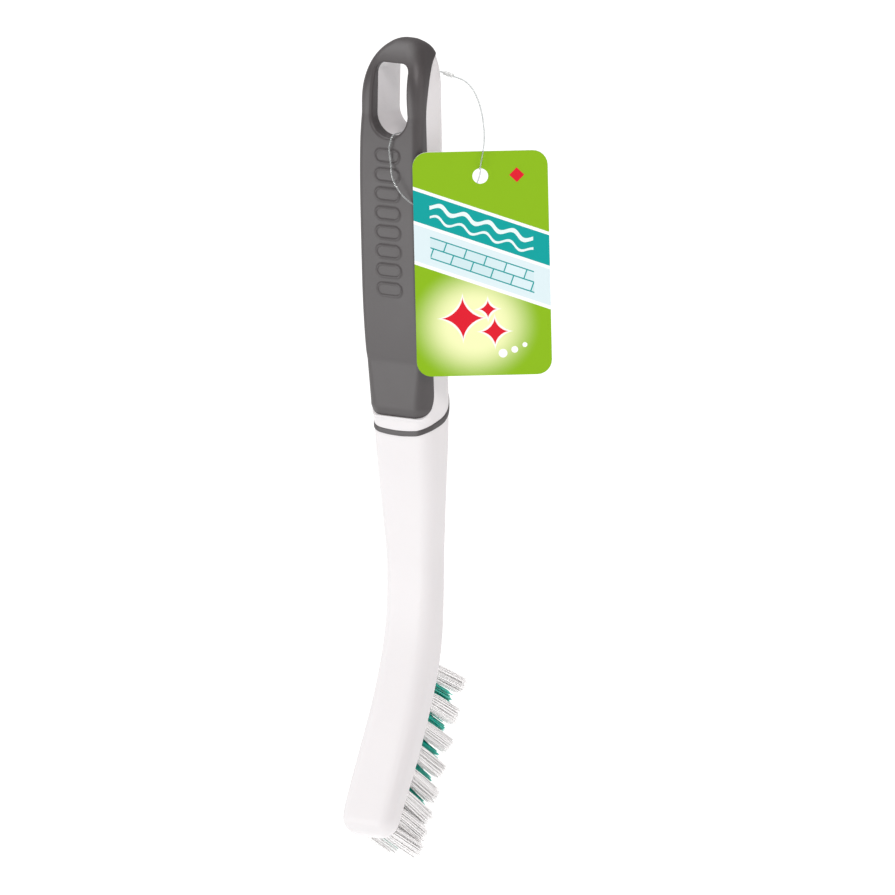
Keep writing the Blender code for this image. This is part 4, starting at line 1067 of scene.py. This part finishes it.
# Bands that slant down to the right with white edges, one teal and one pale, then two pale waves
# along the teal one and a course of tiles in teal lines along the pale one
slanted = add(tree, "ShaderNodeMapping", {
    "Rotation": (0.0, 0.0, BAND_SLANT), "Vector": flat_place,
})
along, rise = add(tree, "ShaderNodeSeparateXYZ", {0: slanted}).outputs[:2]
wave = add(tree, "ShaderNodeMath", {"operation": "MULTIPLY", 0: along, 1: WAVE_TURN})
wave = add(tree, "ShaderNodeMath", {"operation": "SINE", 0: wave})
above_wave = add(tree, "ShaderNodeMath", {"operation": "SUBTRACT", 0: rise, 1: wave})
tile_place = add(tree, "ShaderNodeVectorMath", {
    "operation": "ADD", 0: slanted, 1: (0.4, 40.45, 0.0),
})
tiles = add(tree, "ShaderNodeTexBrick", {
    "Scale": 1.0, "Mortar Size": 0.22, "Mortar Smooth": 0.0, "Brick Width": 7.2, "Row Height": 3.4,
    "Color1": linear("C2DADE"), "Color2": linear("D6E6EA"), "Mortar": linear("009495"),
    "offset": 0.5, "Vector": tile_place,
})
inside = add(tree, "ShaderNodeMath", {"operation": "ABSOLUTE", 0: across})
inside = add(tree, "ShaderNodeMath", {"operation": "LESS_THAN", 0: inside, 1: PRINT_HALF_WIDTH})
stripes = [(rise, (top + low) / 2, (top - low) / 2, linear(code), None) for top, low, code in BANDS]
stripes += [(above_wave, *row, linear("DCE9E8"), inside) for row in WAVES]
stripes.append((rise, *TILES, tiles, inside))
for value, level, half_thick, shown, zone in stripes:
    off = add(tree, "ShaderNodeMath", {"operation": "SUBTRACT", 0: value, 1: level})
    off = add(tree, "ShaderNodeMath", {"operation": "ABSOLUTE", 0: off})
    marks.append((off, half_thick, shown, zone))
# White dots in the lower right corner
for middle_x, middle_y, radius in DOTS:
    away = add(tree, "ShaderNodeVectorMath", {
        "operation": "DISTANCE", 0: flat_place, 1: (middle_x, middle_y, 0.0),
    })
    marks.append((away.outputs["Value"], radius, linear("F0F0F0"), None))
for value, limit, shown, zone in marks:
    mask = add(tree, "ShaderNodeMath", {"operation": "LESS_THAN", 0: value, 1: limit})
    if zone is not None:
        mask = add(tree, "ShaderNodeMath", {"operation": "MULTIPLY", 0: mask, 1: zone})
    colour = add(tree, "ShaderNodeMix", {
        "data_type": "RGBA", 0: mask, 6: colour, 7: shown,
    }).outputs[2]
# Bare board on the back and the cut edges, with its fibres
fibre_place = add(tree, "ShaderNodeMapping", {"Scale": (0.9, 4.0, 4.0), "Vector": sheet})
fibre = add(tree, "ShaderNodeTexNoise", {"Scale": 1.0, "Detail": 4.0, "Vector": fibre_place})
board = add(tree, "ShaderNodeMix", {
    "data_type": "RGBA", 0: fibre, 6: linear("E9E7E0"), 7: linear("F7F6F2"),
})
front = add(tree, "ShaderNodeMath", {
    "operation": "LESS_THAN", 0: outwards, 1: -(CARD_BACK + CARD_THICKNESS) * 1000 + 0.05,
})
colour = add(tree, "ShaderNodeMix", {
    "data_type": "RGBA", 0: front, 6: board.outputs[2], 7: colour,
})
gloss = add(tree, "ShaderNodeMath", {"operation": "MULTIPLY_ADD", 0: front, 1: -0.24, 2: 0.62})
bump = add(tree, "ShaderNodeBump", {"Strength": 0.12, "Distance": 0.00004, "Height": fibre})
fill(tree, shader, {
    "Base Color": colour.outputs[2], "Roughness": gloss, "Normal": bump, "IOR": 1.50,
    "Specular IOR Level": 0.15,
})
hang_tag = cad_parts["hang_tag"]
hang_tag.data.materials.clear()
hang_tag.data.materials.append(card_print)


# Studio. A wide pale floor well below the hanging brush, an even white surround, and large soft
# lights, so that nothing throws a shadow into the picture.
FLOOR_Z = -0.84
FLOOR_REACH = 14.0
floor = put_mesh(
    "studio_floor", np.array((
        (-FLOOR_REACH, -FLOOR_REACH, FLOOR_Z), (FLOOR_REACH, -FLOOR_REACH, FLOOR_Z),
        (FLOOR_REACH, FLOOR_REACH, FLOOR_Z), (-FLOOR_REACH, FLOOR_REACH, FLOOR_Z),
    )), [(0, 1, 2, 3)], None,
)
pale_paper, tree, shader = start_material("studio_paper_white")
place = add(tree, "ShaderNodeTexCoord", {}).outputs["Object"]
cloud = add(tree, "ShaderNodeTexNoise", {"Scale": 0.8, "Detail": 1.0, "Vector": place})
tone = add(tree, "ShaderNodeMix", {
    "data_type": "RGBA", 0: cloud, 6: linear("BABABA"), 7: linear("BEBEBE"),
})
fill(tree, shader, {
    "Base Color": tone.outputs[2], "Roughness": 0.9, "Emission Color": (1.0, 1.0, 1.0, 1.0),
    "Emission Strength": 0.88,
})
floor.data.materials.append(pale_paper)

surround = bpy.data.worlds.new("studio_surround")
surround.use_nodes = True
background = surround.node_tree.nodes["Background"]
background.inputs["Color"].default_value = (1.0, 0.975, 0.97, 1.0)
background.inputs["Strength"].default_value = 0.45
bpy.context.scene.world = surround

# Name, place, size across and up, watts and colour
STUDIO_LIGHTS = (
    ("overhead", (-0.85, -0.30, 1.75), (2.0, 2.0), 30.0, (1.0, 1.0, 1.0)),
    ("panel", (-1.25, -1.80, -0.30), (1.3, 0.95), 12.0, (1.0, 1.0, 1.0)),
    ("side", (2.60, -0.10, 0.50), (1.4, 1.8), 9.0, (1.0, 0.92, 0.92)),
    ("fill", (1.50, -1.60, 1.90), (0.8, 0.8), 25.0, (1.0, 0.95, 0.95)),
)
middle = Vector((0.0, 0.0, -0.13))
for name, spot_place, (wide, high), power, colour in STUDIO_LIGHTS:
    lamp = bpy.data.lights.new(name, "AREA")
    lamp.shape = "RECTANGLE"
    lamp.size, lamp.size_y = wide, high
    lamp.energy = power
    lamp.color = colour
    fixture = bpy.data.objects.new(name, lamp)
    fixture.location = spot_place
    fixture.rotation_euler = (middle - Vector(spot_place)).to_track_quat("-Z", "Y").to_euler()
    fixture.visible_camera = False
    bpy.context.scene.collection.objects.link(fixture)
bpy.context.scene.view_settings.view_transform = "Standard"
bpy.context.scene.view_settings.look = "None"
